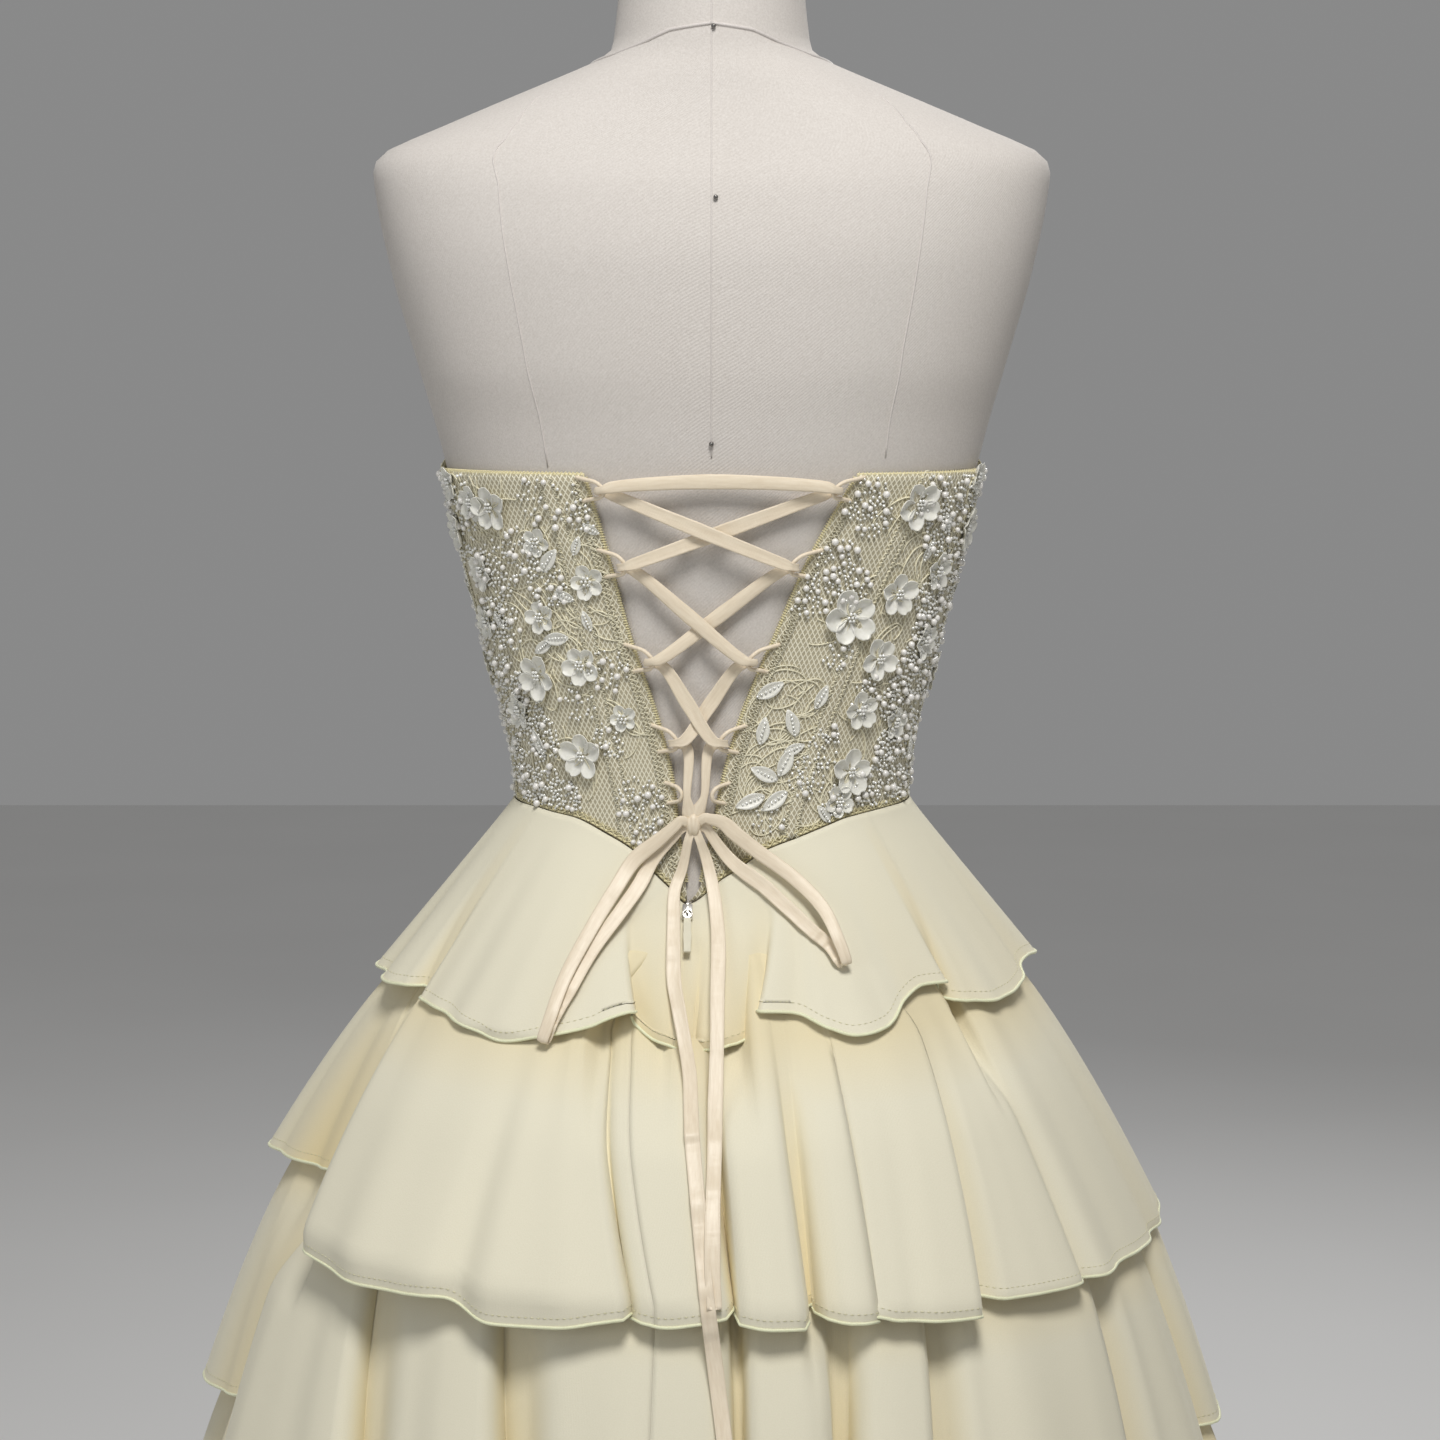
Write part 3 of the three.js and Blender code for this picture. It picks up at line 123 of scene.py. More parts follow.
# The four tiers, top first. Folds are columns of angle, offset at the hem and how late they open
# on the way down. Hem line columns are angle and rise over the plain hem. Lips are columns of
# angle, reach sideways and spread. Leans are columns of angle, lean at the top and spread
TIERS = [
    {
        "name": "tier_1", "top": None, "hem": 0.903, "drop": (0, 0.009),
        "size": (0.19, 0.16), "flare": 1.0,
        "folds": [
            (-90, 0, 1.3), (-80, -0.004, 1.3), (-73, 0.002, 1.3), (-66, 0, 2), (-62.5, -0.012, 3),
            (-60, -0.014, 3), (-57.8, -0.002, 2), (-50, 0, 1.3), (-35, 0.006, 1.3),
            (-24, 0.004, 1.3), (-17, 0.002, 1.3), (-13, 0, 1.7), (-11.4, -0.016, 1.8),
            (-9.4, -0.018, 1.8), (-7, -0.013, 1.8), (-5.4, -0.011, 1.6), (-4, -0.012, 1.4),
            (-2.6, -0.016, 1.2), (-1.2, -0.011, 1.4), (1, -0.01, 1.6), (2.6, -0.012, 1.8),
            (4.4, -0.018, 1.8), (6.2, -0.016, 1.8), (7.8, 0, 1.7), (13, -0.002, 1.3),
            (19, 0.002, 1.5), (24, 0.006, 2), (30, 0.003, 3), (36, -0.003, 4), (44.4, -0.002, 4.5),
            (46, -0.018, 4.5), (48, -0.02, 4), (50, -0.005, 3), (56, -0.001, 2), (65, -0.003, 1.3),
            (78, -0.006, 1.3), (90, 0, 1.3), (102, -0.014, 1.3), (114, 0, 1.3),
            (126, -0.018, 1.3), (132, -0.02, 1.3), (138, -0.002, 1.3), (150, 0, 1.3),
            (162, -0.014, 1.3), (168, -0.022, 1.3), (174, -0.006, 1.3), (186, 0, 1.3),
            (198, -0.016, 1.3), (204, -0.02, 1.3), (210, -0.002, 1.3), (222, 0, 1.3),
            (234, -0.02, 1.3), (246, -0.004, 1.3), (258, -0.012, 1.3), (270, 0, 1.3),
        ],
        "hem_line": [
            (-90, 0.001), (-70, 0.004), (-62, 0.006), (-58, 0.003), (-53, 0.0024), (-39, -0.003),
            (-34, -0.0055), (-27, -0.0006), (-19, 0.0055), (-13.2, 0.0125), (-11.4, 0.0105),
            (-9.8, 0.003), (-8, -0.003), (-3, -0.007), (1, -0.005), (3, -0.003), (4.6, 0.003),
            (6, 0.011), (7.6, 0.0135), (14, 0.0114),
            (19, 0.0046), (23, 0.0013), (28.7, 0.0034), (34.3, 0.0134), (40, 0.0184),
            (44.8, 0.0175), (46.6, 0.016), (48.2, 0.009), (50, 0.006), (57, 0.0035), (69.5, 0.006),
            (80, 0.011), (90, 0.008),
            (112, 0.003), (132, -0.001), (150, 0.004), (168, -0.001), (186, 0.003), (204, -0.001),
            (222, 0.004), (236, -0.001), (270, 0.001),
        ],
        "lips": [
            (-59, 0.004, 2), (-13.6, 0.006, 2.2), (-10.6, -0.011, 2), (5.4, 0.011, 2),
            (8.4, -0.006, 2.2), (44.2, 0.007, 2.4), (47.4, -0.012, 2),
        ],
        "leans": [(-13, -10, 12), (7, 10, 12)],
    },
    {
        "name": "tier_2", "top": 0.938, "hem": 0.782, "drop": (0.014, 0),
        "size": (0.254, 0.246), "flare": 0.7,
        "folds": [
            (-90, 0, 1), (-84, -0.008, 1), (-73, -0.026, 1), (-62, -0.03, 1), (-55.6, -0.028, 1),
            (-53.8, -0.004, 1), (-51, 0.008, 1), (-41, 0.012, 1.3), (-33, 0.011, 1.3),
            (-28.5, 0.004, 1.2), (-24, 0.01, 1.3), (-16, 0.008, 1.2), (-10.8, 0.005, 0.8),
            (-9.8, -0.009, 0.8), (-8.4, -0.01, 0.8), (-7.3, 0.001, 0.9), (-5, 0.004, 1.1),
            (-1, 0.003, 1.2), (0.7, 0.001, 1.2), (1.8, -0.025, 1), (3.1, -0.027, 1),
            (4.3, 0.002, 1), (6.5, 0.005, 1.1), (9, 0.004, 1), (10.2, -0.015, 0.9),
            (12.6, -0.017, 0.9), (13.8, -0.003, 0.9), (16, 0.003, 1), (17.2, 0.002, 0.9),
            (18, -0.008, 0.8), (19, 0.001, 0.9), (22, 0.004, 1), (26, 0.008, 1.1),
            (29.4, 0.009, 0.9), (30.8, -0.008, 0.8), (32.4, -0.008, 0.8), (36, 0, 1),
            (41, 0.004, 1.3), (47, 0.004, 1), (49.2, -0.003, 0.9), (53, 0.003, 1), (58, 0.001, 1.3),
            (66, 0, 1.3), (74, -0.004, 1.3), (82, -0.002, 1.3), (90, 0, 1.3), (102, -0.022, 1),
            (108, -0.024, 1), (114, 0, 1), (126, 0.002, 1.3), (138, -0.018, 1), (144, -0.022, 1),
            (150, 0, 1), (162, 0.004, 1.3), (174, -0.02, 1), (180, -0.024, 1), (186, 0, 1),
            (198, 0.003, 1.3), (210, -0.016, 1), (216, -0.02, 1), (222, 0, 1), (234, 0.002, 1.3),
            (246, -0.022, 1), (252, -0.008, 1), (262, 0, 1), (270, 0, 1),
        ],
        "hem_line": [
            (-90, 0.004), (-73, 0.008), (-61, 0.014), (-56, 0.014), (-53, -0.01), (-45, -0.014),
            (-36, -0.012), (-31, -0.01), (-28, -0.014), (-24, -0.017), (-17, -0.0145),
            (-10.4, -0.007), (-9, -0.004), (-7.5, -0.009), (-5, -0.01), (-1, -0.007),
            (2.5, -0.002), (5, -0.008), (9, -0.008), (12, -0.002), (14.5, -0.006), (17.4, -0.006),
            (18.5, -0.003), (21, -0.005), (29.6, -0.006), (31.4, 0.001), (36, -0.001),
            (50, -0.001), (61, 0.001), (82, -0.003), (90, -0.001), (105, 0.003), (122, -0.003),
            (141, 0.003), (158, -0.003), (177, 0.003), (196, -0.003), (213, 0.003), (230, -0.003),
            (248, 0.004), (262, 0.001), (270, 0.004),
        ],
        "lips": [
            (-51.6, -0.011, 2.2), (-55.8, 0.008, 1.8), (-11.2, 0.004, 1.4), (-9, -0.003, 1),
            (29, 0.005, 1.8), (31.6, -0.004, 1.2), (9, 0.003, 1.2), (16.8, 0.003, 1),
            (0.6, 0.002, 1),
        ],
        "leans": [(-54, -10, 16), (-9.6, -12, 12), (30, 8, 11)],
    },
    {
        "name": "tier_3", "top": 0.852, "hem": 0.656, "drop": (0.01, 0),
        "size": (0.29, 0.28), "flare": 0.5,
        "folds": [
            (-90, 0, 1), (-84, 0, 1), (-77, -0.012, 1), (-68, -0.024, 1), (-65.6, -0.022, 0.9),
            (-63.6, -0.002, 0.9), (-58, 0.006, 1), (-50, 0.004, 1), (-44, 0.006, 1),
            (-41.2, 0.005, 0.8), (-40, -0.016, 0.8), (-37.5, -0.012, 0.8), (-32, 0.001, 1),
            (-27, 0.006, 1), (-22.6, 0.006, 0.8), (-21.4, -0.02, 0.8), (-18.6, -0.015, 0.8),
            (-14, 0.002, 1), (-8, 0.006, 1), (-1, 0.004, 1), (0.8, 0.002, 0.9), (2, -0.02, 0.8),
            (3.8, -0.02, 0.8), (5, 0.003, 0.9), (9.6, 0.004, 1), (11.2, 0.001, 0.8),
            (12.4, -0.02, 0.8), (14.8, -0.02, 0.8), (16, 0.002, 0.8), (18, 0.005, 0.9),
            (20.6, 0.005, 0.8), (21.8, -0.019, 0.8), (24.4, -0.013, 0.8), (29, 0.001, 1),
            (35, 0.006, 1), (44, 0.005, 1), (47.2, 0.003, 0.8), (48.6, -0.019, 0.8),
            (51.4, -0.014, 0.8), (56, 0.002, 1), (62, 0.005, 1), (68, 0, 1), (71.6, -0.018, 0.9),
            (75.6, -0.02, 0.9), (79, 0, 1), (90, 0, 1), (96, -0.018, 1), (108, -0.024, 1),
            (114, 0.002, 1), (126, 0.004, 1), (132, -0.018, 1), (144, -0.022, 1), (150, 0.002, 1),
            (162, 0.004, 1), (168, -0.02, 1), (180, -0.022, 1), (186, 0.003, 1), (198, 0.004, 1),
            (204, -0.018, 1), (216, -0.022, 1), (222, 0.002, 1), (234, 0.004, 1),
            (240, -0.018, 1), (252, -0.02, 1), (258, 0, 1), (270, 0, 1),
        ],
        "hem_line": [
            (-90, 0.002), (-77, 0.009), (-66, 0.017), (-63, -0.006), (-50, -0.01), (-40, -0.004),
            (-30, -0.009), (-20, -0.003), (-8, -0.009), (3, -0.002), (9, -0.007), (13.6, 0.001),
            (19, -0.006), (23, -0.001), (35, -0.006), (50, 0), (62, -0.003), (74, 0.008),
            (82, 0.011), (90, 0.004), (102, 0.005), (120, -0.004), (138, 0.004), (156, -0.004),
            (174, 0.004), (192, -0.004), (210, 0.004), (228, -0.004), (246, 0.005), (262, -0.002),
            (270, 0.002),
        ],
        "lips": [
            (-62.4, -0.009, 2), (-66, 0.006, 1.6), (-42, 0.005, 1.4), (-39.6, -0.004, 1),
            (-23.4, 0.005, 1.4), (-21, -0.004, 1), (0.4, 0.002, 1), (20, 0.005, 1.4),
            (22.4, -0.004, 1), (16.6, -0.003, 1), (46.8, 0.005, 1.4), (49.2, -0.004, 1),
        ],
        "leans": [(-64, -5, 12), (-40, -9, 11), (-21, -7, 9), (21, 6, 9), (48, 6, 11)],
    },
    {
        "name": "tier_4", "top": 0.728, "hem": 0.53, "drop": (0.006, 0),
        "size": (0.318, 0.306), "flare": 0.45,
        "folds": [
            (-90, 0, 1), (-84, -0.02, 1), (-78, -0.022, 1), (-73, 0.002, 1), (-64, 0.004, 1),
            (-60, -0.02, 0.9), (-52, -0.024, 0.9), (-47, 0.002, 1), (-39, 0.004, 1),
            (-32, -0.022, 0.9), (-28, -0.022, 0.9), (-24, 0.003, 1), (-13, 0.005, 1),
            (-10, -0.018, 0.9), (-3, -0.022, 0.9), (0, 0.003, 1), (9, 0.005, 1), (12, -0.02, 0.9),
            (15, -0.022, 0.9), (21, 0.003, 1), (28, 0.004, 1), (31, -0.02, 0.9),
            (37, -0.024, 0.9), (41, 0.002, 1), (50, 0.005, 1), (54, -0.018, 0.9),
            (63, -0.022, 0.9), (68, 0.002, 1), (79, 0.004, 1), (84, -0.016, 1), (90, -0.002, 1),
            (102, 0.003, 1), (108, -0.02, 1), (114, -0.022, 1), (126, 0.003, 1), (138, 0.004, 1),
            (144, -0.02, 1), (156, -0.022, 1), (162, 0.003, 1), (174, 0.004, 1), (180, -0.02, 1),
            (192, -0.022, 1), (198, 0.003, 1), (210, 0.004, 1), (216, -0.02, 1), (228, -0.022, 1),
            (234, 0.003, 1), (246, 0.002, 1), (252, -0.02, 1), (264, -0.016, 1), (270, 0, 1),
        ],
        "hem_line": [
            (-90, 0), (-81, 0.004), (-68, -0.003), (-56, 0.005), (-43, -0.003), (-30, 0.004),
            (-18, -0.003), (-6, 0.004), (5, -0.003), (14, 0.004), (25, -0.003), (34, 0.005),
            (46, -0.003), (58, 0.004), (74, -0.003), (86, 0.003), (96, -0.002), (111, 0.004),
            (132, -0.003), (150, 0.004), (168, -0.003), (186, 0.004), (204, -0.003),
            (222, 0.004), (240, -0.003), (258, 0.004), (270, 0),
        ],
        "lips": [(-46, -0.005, 2), (-61, 0.005, 1.6), (41.6, -0.005, 1.6), (53, 0.005, 1.6)],
        "leans": [],
    },
]
ROLL = 0.0018
STEEPEST = 2.4
SLOPE_STEP = 0.4
LEAN_START = 0.3

# Small ripples in every tier. Columns: depth, count round the skirt, turn
RIPPLES = [(0.0007, 23, 0), (0.0006, 41, 60)]
SOFT_MEETING = 0.003
MEETING_SUNK = 0.0004
NEXT_SEAM_SPAN = 0.016
BACK_STEP = 0.6
FRONT_STEP = 1.5
HIDDEN_ROWS = 8
SHOWN_ROWS = 26

# Bodice panels by their waist angles. The two back panels end at the laced edges
PANELS = [
    ("bodice_back_left", -60, -6, "left"),
    ("bodice_back_right", -6, 60, "right"),
    ("bodice_side_right", 60, 105, None),
    ("bodice_side_front_right", 105, 144, None),
    ("bodice_centre_front", 144, 216, None),
    ("bodice_side_front_left", 216, 255, None),
    ("bodice_side_left", 255, 300, None),
]
PANEL_STEP = 1.2
PANEL_ROWS = 56
PANEL_WALL = 0.0016
NET_SUNK = 0.0002

# Sewn boning channels on the bodice, as points of angle and level
CHANNELS = [
    [(-33, 1.181), (-28, 1.094), (-28, 1.046), (-24.3, 0.99)],
    [(48, 1.182), (43.6, 1.154), (37, 1.115), (31, 1.062), (22, 0.988)],
    [(82, 1.184), (82, 1.0)],
    [(278, 1.184), (278, 1.0)],
    [(125, 1.2), (124, 0.996)],
    [(235, 1.2), (236, 0.996)],
    [(160, 1.19), (166, 0.972)],
    [(200, 1.19), (194, 0.972)],
]
CHANNEL_HALF_WIDTH = 0.0034
CHANNEL_RISE = 0.001
CHANNEL_FLANK = 0.0012
GIRTH_RADIUS = 0.118

# Five-petal flowers. Columns: angle, level, radius, turn
FLOWERS = [
    (-52, 1.163, 0.0125, 10), (-47.5, 1.073, 0.0125, 40), (-37, 1.0305, 0.0125, 0),
    (46.5, 1.165, 0.013, 30), (46, 1.117, 0.012, 0), (32, 1.1055, 0.0148, 15),
    (43.5, 1.0825, 0.0115, 30), (41.3, 1.0215, 0.0125, 0), (76, 1.15, 0.012, 5),
    (86, 1.072, 0.011, 30), (284, 1.15, 0.012, 20), (274, 1.072, 0.011, 0),
    (122, 1.092, 0.011, 30), (238, 1.092, 0.011, 15), (166, 1.132, 0.011, 20),
    (194, 1.132, 0.011, 40), (180, 1.07, 0.012, 0),
]
SMALL_FLOWERS = [
    (-39, 1.145, 0.008, 50), (-26.5, 1.125, 0.0095, 20), (-42, 1.105, 0.009, 15),
    (-31.5, 1.08, 0.0105, 30), (-64, 1.128, 0.010, 40), (-62, 1.052, 0.010, 5),
    (-22, 1.052, 0.0075, 20), (-72, 1.1755, 0.0095, 15), (74, 1.1785, 0.0095, 40),
    (41, 1.055, 0.0105, 12), (38, 1.006, 0.009, 33),
    (61.5, 1.128, 0.0105, 5), (58, 1.046, 0.0095, 70), (64, 1.09, 0.01, 20),
    (98, 1.112, 0.01, 45), (112, 1.04, 0.01, 10), (110, 1.172, 0.01, 30), (138, 1.16, 0.01, 5),
    (150, 1.03, 0.0095, 25), (262, 1.112, 0.01, 15), (248, 1.04, 0.01, 50), (250, 1.172, 0.01, 0),
    (222, 1.16, 0.01, 35), (210, 1.03, 0.0095, 5), (300, 1.165, 0.01, 60), (290, 1.10, 0.01, 15),
    (180, 1.008, 0.009, 12), (154, 1.1, 0.009, 40), (206, 1.1, 0.009, 20),
]

# Beaded leaves. Columns: angle, level, length, turn
LEAVES = [
    (-36, 1.136, 0.016, -40), (-38, 1.094, 0.015, 95), (-54, 1.036, 0.015, 25),
    (13, 1.068, 0.016, -60), (20, 1.05, 0.0155, 20), (14, 1.023, 0.016, 65),
    (88, 1.118, 0.016, -30), (72, 1.03, 0.015, 15), (272, 1.118, 0.016, 30),
    (288, 1.03, 0.015, -15), (118, 1.148, 0.016, 25), (128, 1.046, 0.015, -25),
    (242, 1.148, 0.016, -25), (232, 1.046, 0.015, 25), (163, 1.096, 0.015, 40),
    (197, 1.096, 0.015, -40),
]
SMALL_LEAVES = [
    (19.5, 1.029, 0.0165, -25), (17.6, 1.0085, 0.0165, 125), (10.6, 1.0085, 0.0165, 110),
    (12.4, 1.046, 0.015, -10), (21.6, 1.036, 0.012, -70), (27, 1.0635, 0.014, -25),
    (-33.4, 1.117, 0.012, 70), (-43, 1.089, 0.013, 120), (-28, 1.104, 0.0115, 20),
    (-28, 1.144, 0.011, -20), (-24, 1.153, 0.01, 60), (33, 1.0, 0.012, 40),
    (60, 1.155, 0.013, 30), (54, 1.14, 0.012, -20), (-60, 1.102, 0.012, 40),
    (-62, 1.162, 0.012, -30), (96, 1.15, 0.013, 60), (104, 1.086, 0.013, -70),
    (146, 1.078, 0.013, 30), (214, 1.078, 0.013, -30), (256, 1.086, 0.013, 70),
    (264, 1.15, 0.013, -60), (172, 1.036, 0.013, 50), (188, 1.036, 0.013, -50),
    (140, 1.118, 0.013, 80), (220, 1.118, 0.013, -80),
]

# Fields of pearls and seed beads. Columns: angle, level, radius, pearls, seed beads
BEAD_FIELDS = [
    (-33, 1.168, 0.017, 9, 26), (-44, 1.14, 0.014, 8, 40), (-38, 1.122, 0.013, 9, 34),
    (-24, 1.078, 0.012, 8, 26), (-20, 1.006, 0.015, 10, 56), (-17, 0.985, 0.012, 6, 34),
    (-27, 1.04, 0.01, 3, 26), (-35, 1.06, 0.012, 2, 22), (-55, 1.13, 0.016, 6, 52),
    (-57, 1.10, 0.015, 5, 50), (-56, 1.06, 0.015, 6, 62), (-52, 1.04, 0.015, 6, 60),
    (-54, 1.012, 0.015, 6, 62), (-45, 1.006, 0.012, 4, 30), (-25, 1.16, 0.009, 4, 14),
    (30, 1.17, 0.013, 7, 34), (34, 1.158, 0.01, 4, 22), (26, 1.135, 0.013, 13, 30),
    (21, 1.118, 0.012, 9, 28), (31, 1.122, 0.011, 7, 22), (30, 1.085, 0.009, 2, 22),
    (42, 1.062, 0.012, 5, 26), (27, 1.02, 0.012, 2, 40), (31, 1.036, 0.012, 2, 30),
    (52, 1.168, 0.014, 9, 36), (57, 1.15, 0.013, 8, 40), (60, 1.112, 0.014, 7, 50),
    (58, 1.08, 0.014, 8, 56), (54, 1.06, 0.013, 7, 48), (56, 1.03, 0.014, 8, 60),
    (50, 1.012, 0.013, 6, 44), (38, 1.004, 0.012, 2, 26), (16, 1.0, 0.01, 1, 16),
]
HIDDEN_FIELD = (0.015, 5, 34)

# Rouleau loops and lacing
LOOP_LEVELS = [1.173, 1.133, 1.083, 1.04, 1.013]
LOOP_THICKNESS = 0.0022
LOOP_REACHES = [0.009, 0.009, 0.009, 0.008, 0.0045]
LOOP_HALF_SPAN = 0.0045
LOOP_UPPER_FEET = [0.006, 0.008, 0.008, 0.008, 0.0045]
LOOP_RISE = 0.004
LOOP_OUT = SHELL + 0.0003 + LOOP_THICKNESS / 2
LACING_WIDTH = 0.008
LACING_TURNED = 0.0062
LACING_BUNCHED = 0.004
BUNCHED_WITHIN = 0.0012
RIBBON_WIDTH = 0.0072
RIBBON_THICKNESS = 0.0009
RIBBON_CREASE = 0.0003
STRAND_OVER = 0.0088
STRAND_UNDER = 0.0054

# The knot, and the routes of the bow's loops and tails
KNOT_CENTRE = (-0.0095, -0.097, 0.997)
KNOT_RADII = (0.0042, 0.0036, 0.006)
BOW_LOOP_LEFT = [
    (-0.016, -0.099, 0.9996), (-0.027, -0.0986, 0.99), (-0.0405, -0.0996, 0.979),
    (-0.0497, -0.107, 0.966), (-0.0658, -0.1236, 0.941), (-0.0763, -0.136, 0.922),
    (-0.0835, -0.1496, 0.903), (-0.0868, -0.1516, 0.893), (-0.085, -0.1474, 0.894),
    (-0.0814, -0.145, 0.903), (-0.0724, -0.1358, 0.918), (-0.0614, -0.1242, 0.936),
    (-0.048, -0.1128, 0.953), (-0.038, -0.1024, 0.966), (-0.0304, -0.0958, 0.979),
    (-0.016, -0.096, 0.995),
]
BOW_LOOP_RIGHT = [
    (-0.0034, -0.099, 1.001), (0.0058, -0.0984, 0.9985), (0.0134, -0.0994, 0.992),
    (0.025, -0.1, 0.983), (0.0446, -0.107, 0.9695), (0.0586, -0.1184, 0.956),
    (0.066, -0.1292, 0.942), (0.0702, -0.1324, 0.93), (0.0676, -0.1272, 0.93),
    (0.0614, -0.1238, 0.938), (0.0524, -0.1196, 0.945), (0.0382, -0.1118, 0.957),
    (0.0274, -0.1056, 0.966), (0.0094, -0.0966, 0.979), (-0.003, -0.096, 0.9954),
]
TAIL_LEFT = [
    (-0.0124, -0.098, 0.9886), (-0.0154, -0.0974, 0.974), (-0.0194, -0.1016, 0.963),
    (-0.0198, -0.1102, 0.95), (-0.0198, -0.1198, 0.936), (-0.0194, -0.1312, 0.921),
    (-0.017, -0.1432, 0.909), (-0.0136, -0.1542, 0.893), (-0.011, -0.1672, 0.88),
    (-0.01, -0.1848, 0.864), (-0.0088, -0.202, 0.849), (-0.0064, -0.2216, 0.828),
    (-0.0034, -0.2386, 0.8), (-0.0012, -0.2474, 0.782), (0.0012, -0.2486, 0.762),
    (0.0038, -0.253, 0.742), (0.0066, -0.2622, 0.722), (0.0086, -0.2696, 0.704),
]
TAIL_RIGHT = [
    (-0.006, -0.098, 0.9886), (-0.0024, -0.0976, 0.978), (0.0016, -0.1078, 0.96),
    (0.0036, -0.1248, 0.94), (0.0032, -0.1438, 0.918), (0.003, -0.1616, 0.896),
    (0.0026, -0.1708, 0.882), (0.002, -0.1866, 0.864), (0.0018, -0.2012, 0.849),
    (0.001, -0.2226, 0.828), (0.0008, -0.2334, 0.814), (0.0008, -0.2418, 0.8),
    (0.0018, -0.2502, 0.783),
]

# The zip's slider on the sloping cloth, and its cloth-covered pull
ZIP_PLACE = (-0.0126, -0.1076, 0.952)
ZIP_SLOPE = math.radians(50.9)

# The form's pins, as angle and level
PINS = [(1.2, 1.4155), (0.3, 1.324), (0, 1.1975)]


def unit(vectors):
    return vectors / np.maximum(np.linalg.norm(vectors, axis=-1, keepdims=True), SMALLEST_LENGTH)


def ease(share):
    return share * share * (3 - 2 * share)


# The length of a line of points up to each of them
def arc_length(points):
    steps = np.linalg.norm(np.diff(points, axis=0), axis=1)
    return np.concatenate([[0], np.cumsum(steps)])


# Points or directions given along a line, read at marks on its length
def read_along(values, length, marks):
    return np.stack([np.interp(marks, length, values[:, k]) for k in range(3)], -1)


# Smooth look-up between the rows of a table, with no overshoot
def smooth(table, key, column):
    rows = np.array(table, float)
    x, y = rows[:, 0], rows[:, column]
    rise = np.diff(y) / np.diff(x)
    both = rise[:-1] * rise[1:]
    inner = np.divide(2 * both, rise[:-1] + rise[1:], out=np.zeros_like(both), where=both > 0)
    slope = np.concatenate([rise[:1], inner, rise[-1:]])
    key = np.clip(key, x[0], x[-1])
    i = np.clip(np.searchsorted(x, key, side="right") - 1, 0, len(x) - 2)
    h = x[i + 1] - x[i]
    t = (key - x[i]) / h
    start = y[i] * (1 + 2 * t) * (1 - t) ** 2 + slope[i] * h * t * (1 - t) ** 2
    end = y[i + 1] * t * t * (3 - 2 * t) - slope[i + 1] * h * t * t * (1 - t)
    return start + end


def wrapped(angle, start):
    return (np.asarray(angle, float) - start) % FULL_TURN + start


def bump(angle, middle, spread):
    return np.exp(-(((wrapped(angle, -SIDE) - middle) / spread) ** 2))


# The body's surface, moved out
def body_point(angle, level, out, bust_share=1.0):
    angle, level, out = np.broadcast_arrays(np.asarray(angle, float), level, out)
    half_width, front, back, squareness = (smooth(BODY, level, column) for column in range(1, 5))
    away = np.abs(wrapped(angle, 0) - FRONT)
    bust = bust_share * BUST_RISE * np.exp(
        -(((away - BUST_ANGLE) / BUST_SPREAD_ANGLE) ** 2)
        - ((level - BUST_LEVEL) / BUST_SPREAD_LEVEL) ** 2
    )
    sine, cosine = np.sin(np.radians(angle)), np.cos(np.radians(angle))
    across = np.sign(sine) * np.abs(sine) ** (2 / squareness)
    along = np.sign(cosine) * np.abs(cosine) ** (2 / squareness)
    depth = np.where(cosine > 0, back, front + bust)
    return np.stack([(half_width + out) * across, -(depth + out) * along, level], -1)


# The angle at which the body's back reaches a distance x from the middle
def body_angle(x, level, out):
    share = np.abs(x) / (smooth(BODY, level, 1) + out)
    return np.sign(x) * np.degrees(np.arcsin(np.minimum(1, share) ** (smooth(BODY, level, 4) / 2)))


# Places on the body with their directions across, up and outwards
def body_frames(angle, level, out):
    place = body_point(angle, level, out)
    step, rise = 0.2, 0.001
    across = unit(body_point(angle + step, level, out) - body_point(angle - step, level, out))
    up = unit(body_point(angle, level + rise, out) - body_point(angle, level - rise, out))
    outward = unit(np.cross(across, up))
    return place, np.stack([across, np.cross(outward, across), outward], -2)


def waist_level(angle):
    return smooth(WAIST_SEAM, wrapped(angle, -FRONT), 1)


def top_level(angle):
    return smooth(TOP_EDGE, np.abs(wrapped(angle, 0) - FRONT), 1)


def deselect():
    bpy.ops.object.select_all(action="DESELECT")


# A named piece from points and faces, in its own place, riding on the dress
def add_piece(name, points, faces, material, uv=None, shade=None, body="dress"):
    mesh = bpy.data.meshes.new(name)
    mesh.from_pydata(np.asarray(points).reshape(-1, 3).tolist(), [], faces)
    mesh.update()
    if uv is not None:
        corners = np.empty(len(mesh.loops), dtype=np.int32)
        mesh.loops.foreach_get("vertex_index", corners)
        layer = mesh.uv_layers.new(name="cloth")
        layer.data.foreach_set("uv", np.asarray(uv, float).reshape(-1, 2)[corners].ravel())
    if shade is not None:
        layer = mesh.attributes.new("shade", "FLOAT", "POINT")
        layer.data.foreach_set("value", np.asarray(shade, float).ravel())
    mesh.materials.append(material)
    mesh.shade_smooth()
    piece = bpy.data.objects.new(name, mesh)
    bpy.context.scene.collection.objects.link(piece)
    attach(piece, body)
    return piece


def grid_faces(rows, columns, start=0, turned_over=False, ring=False):
    faces = []
    for row in range(rows - 1):
        for column in range(columns if ring else columns - 1):
            after = (column + 1) % columns
            a, b = start + row * columns + column, start + row * columns + after
            face = (a, a + columns, b + columns, b)
            faces.append(face[::-1] if turned_over else face)
    return faces


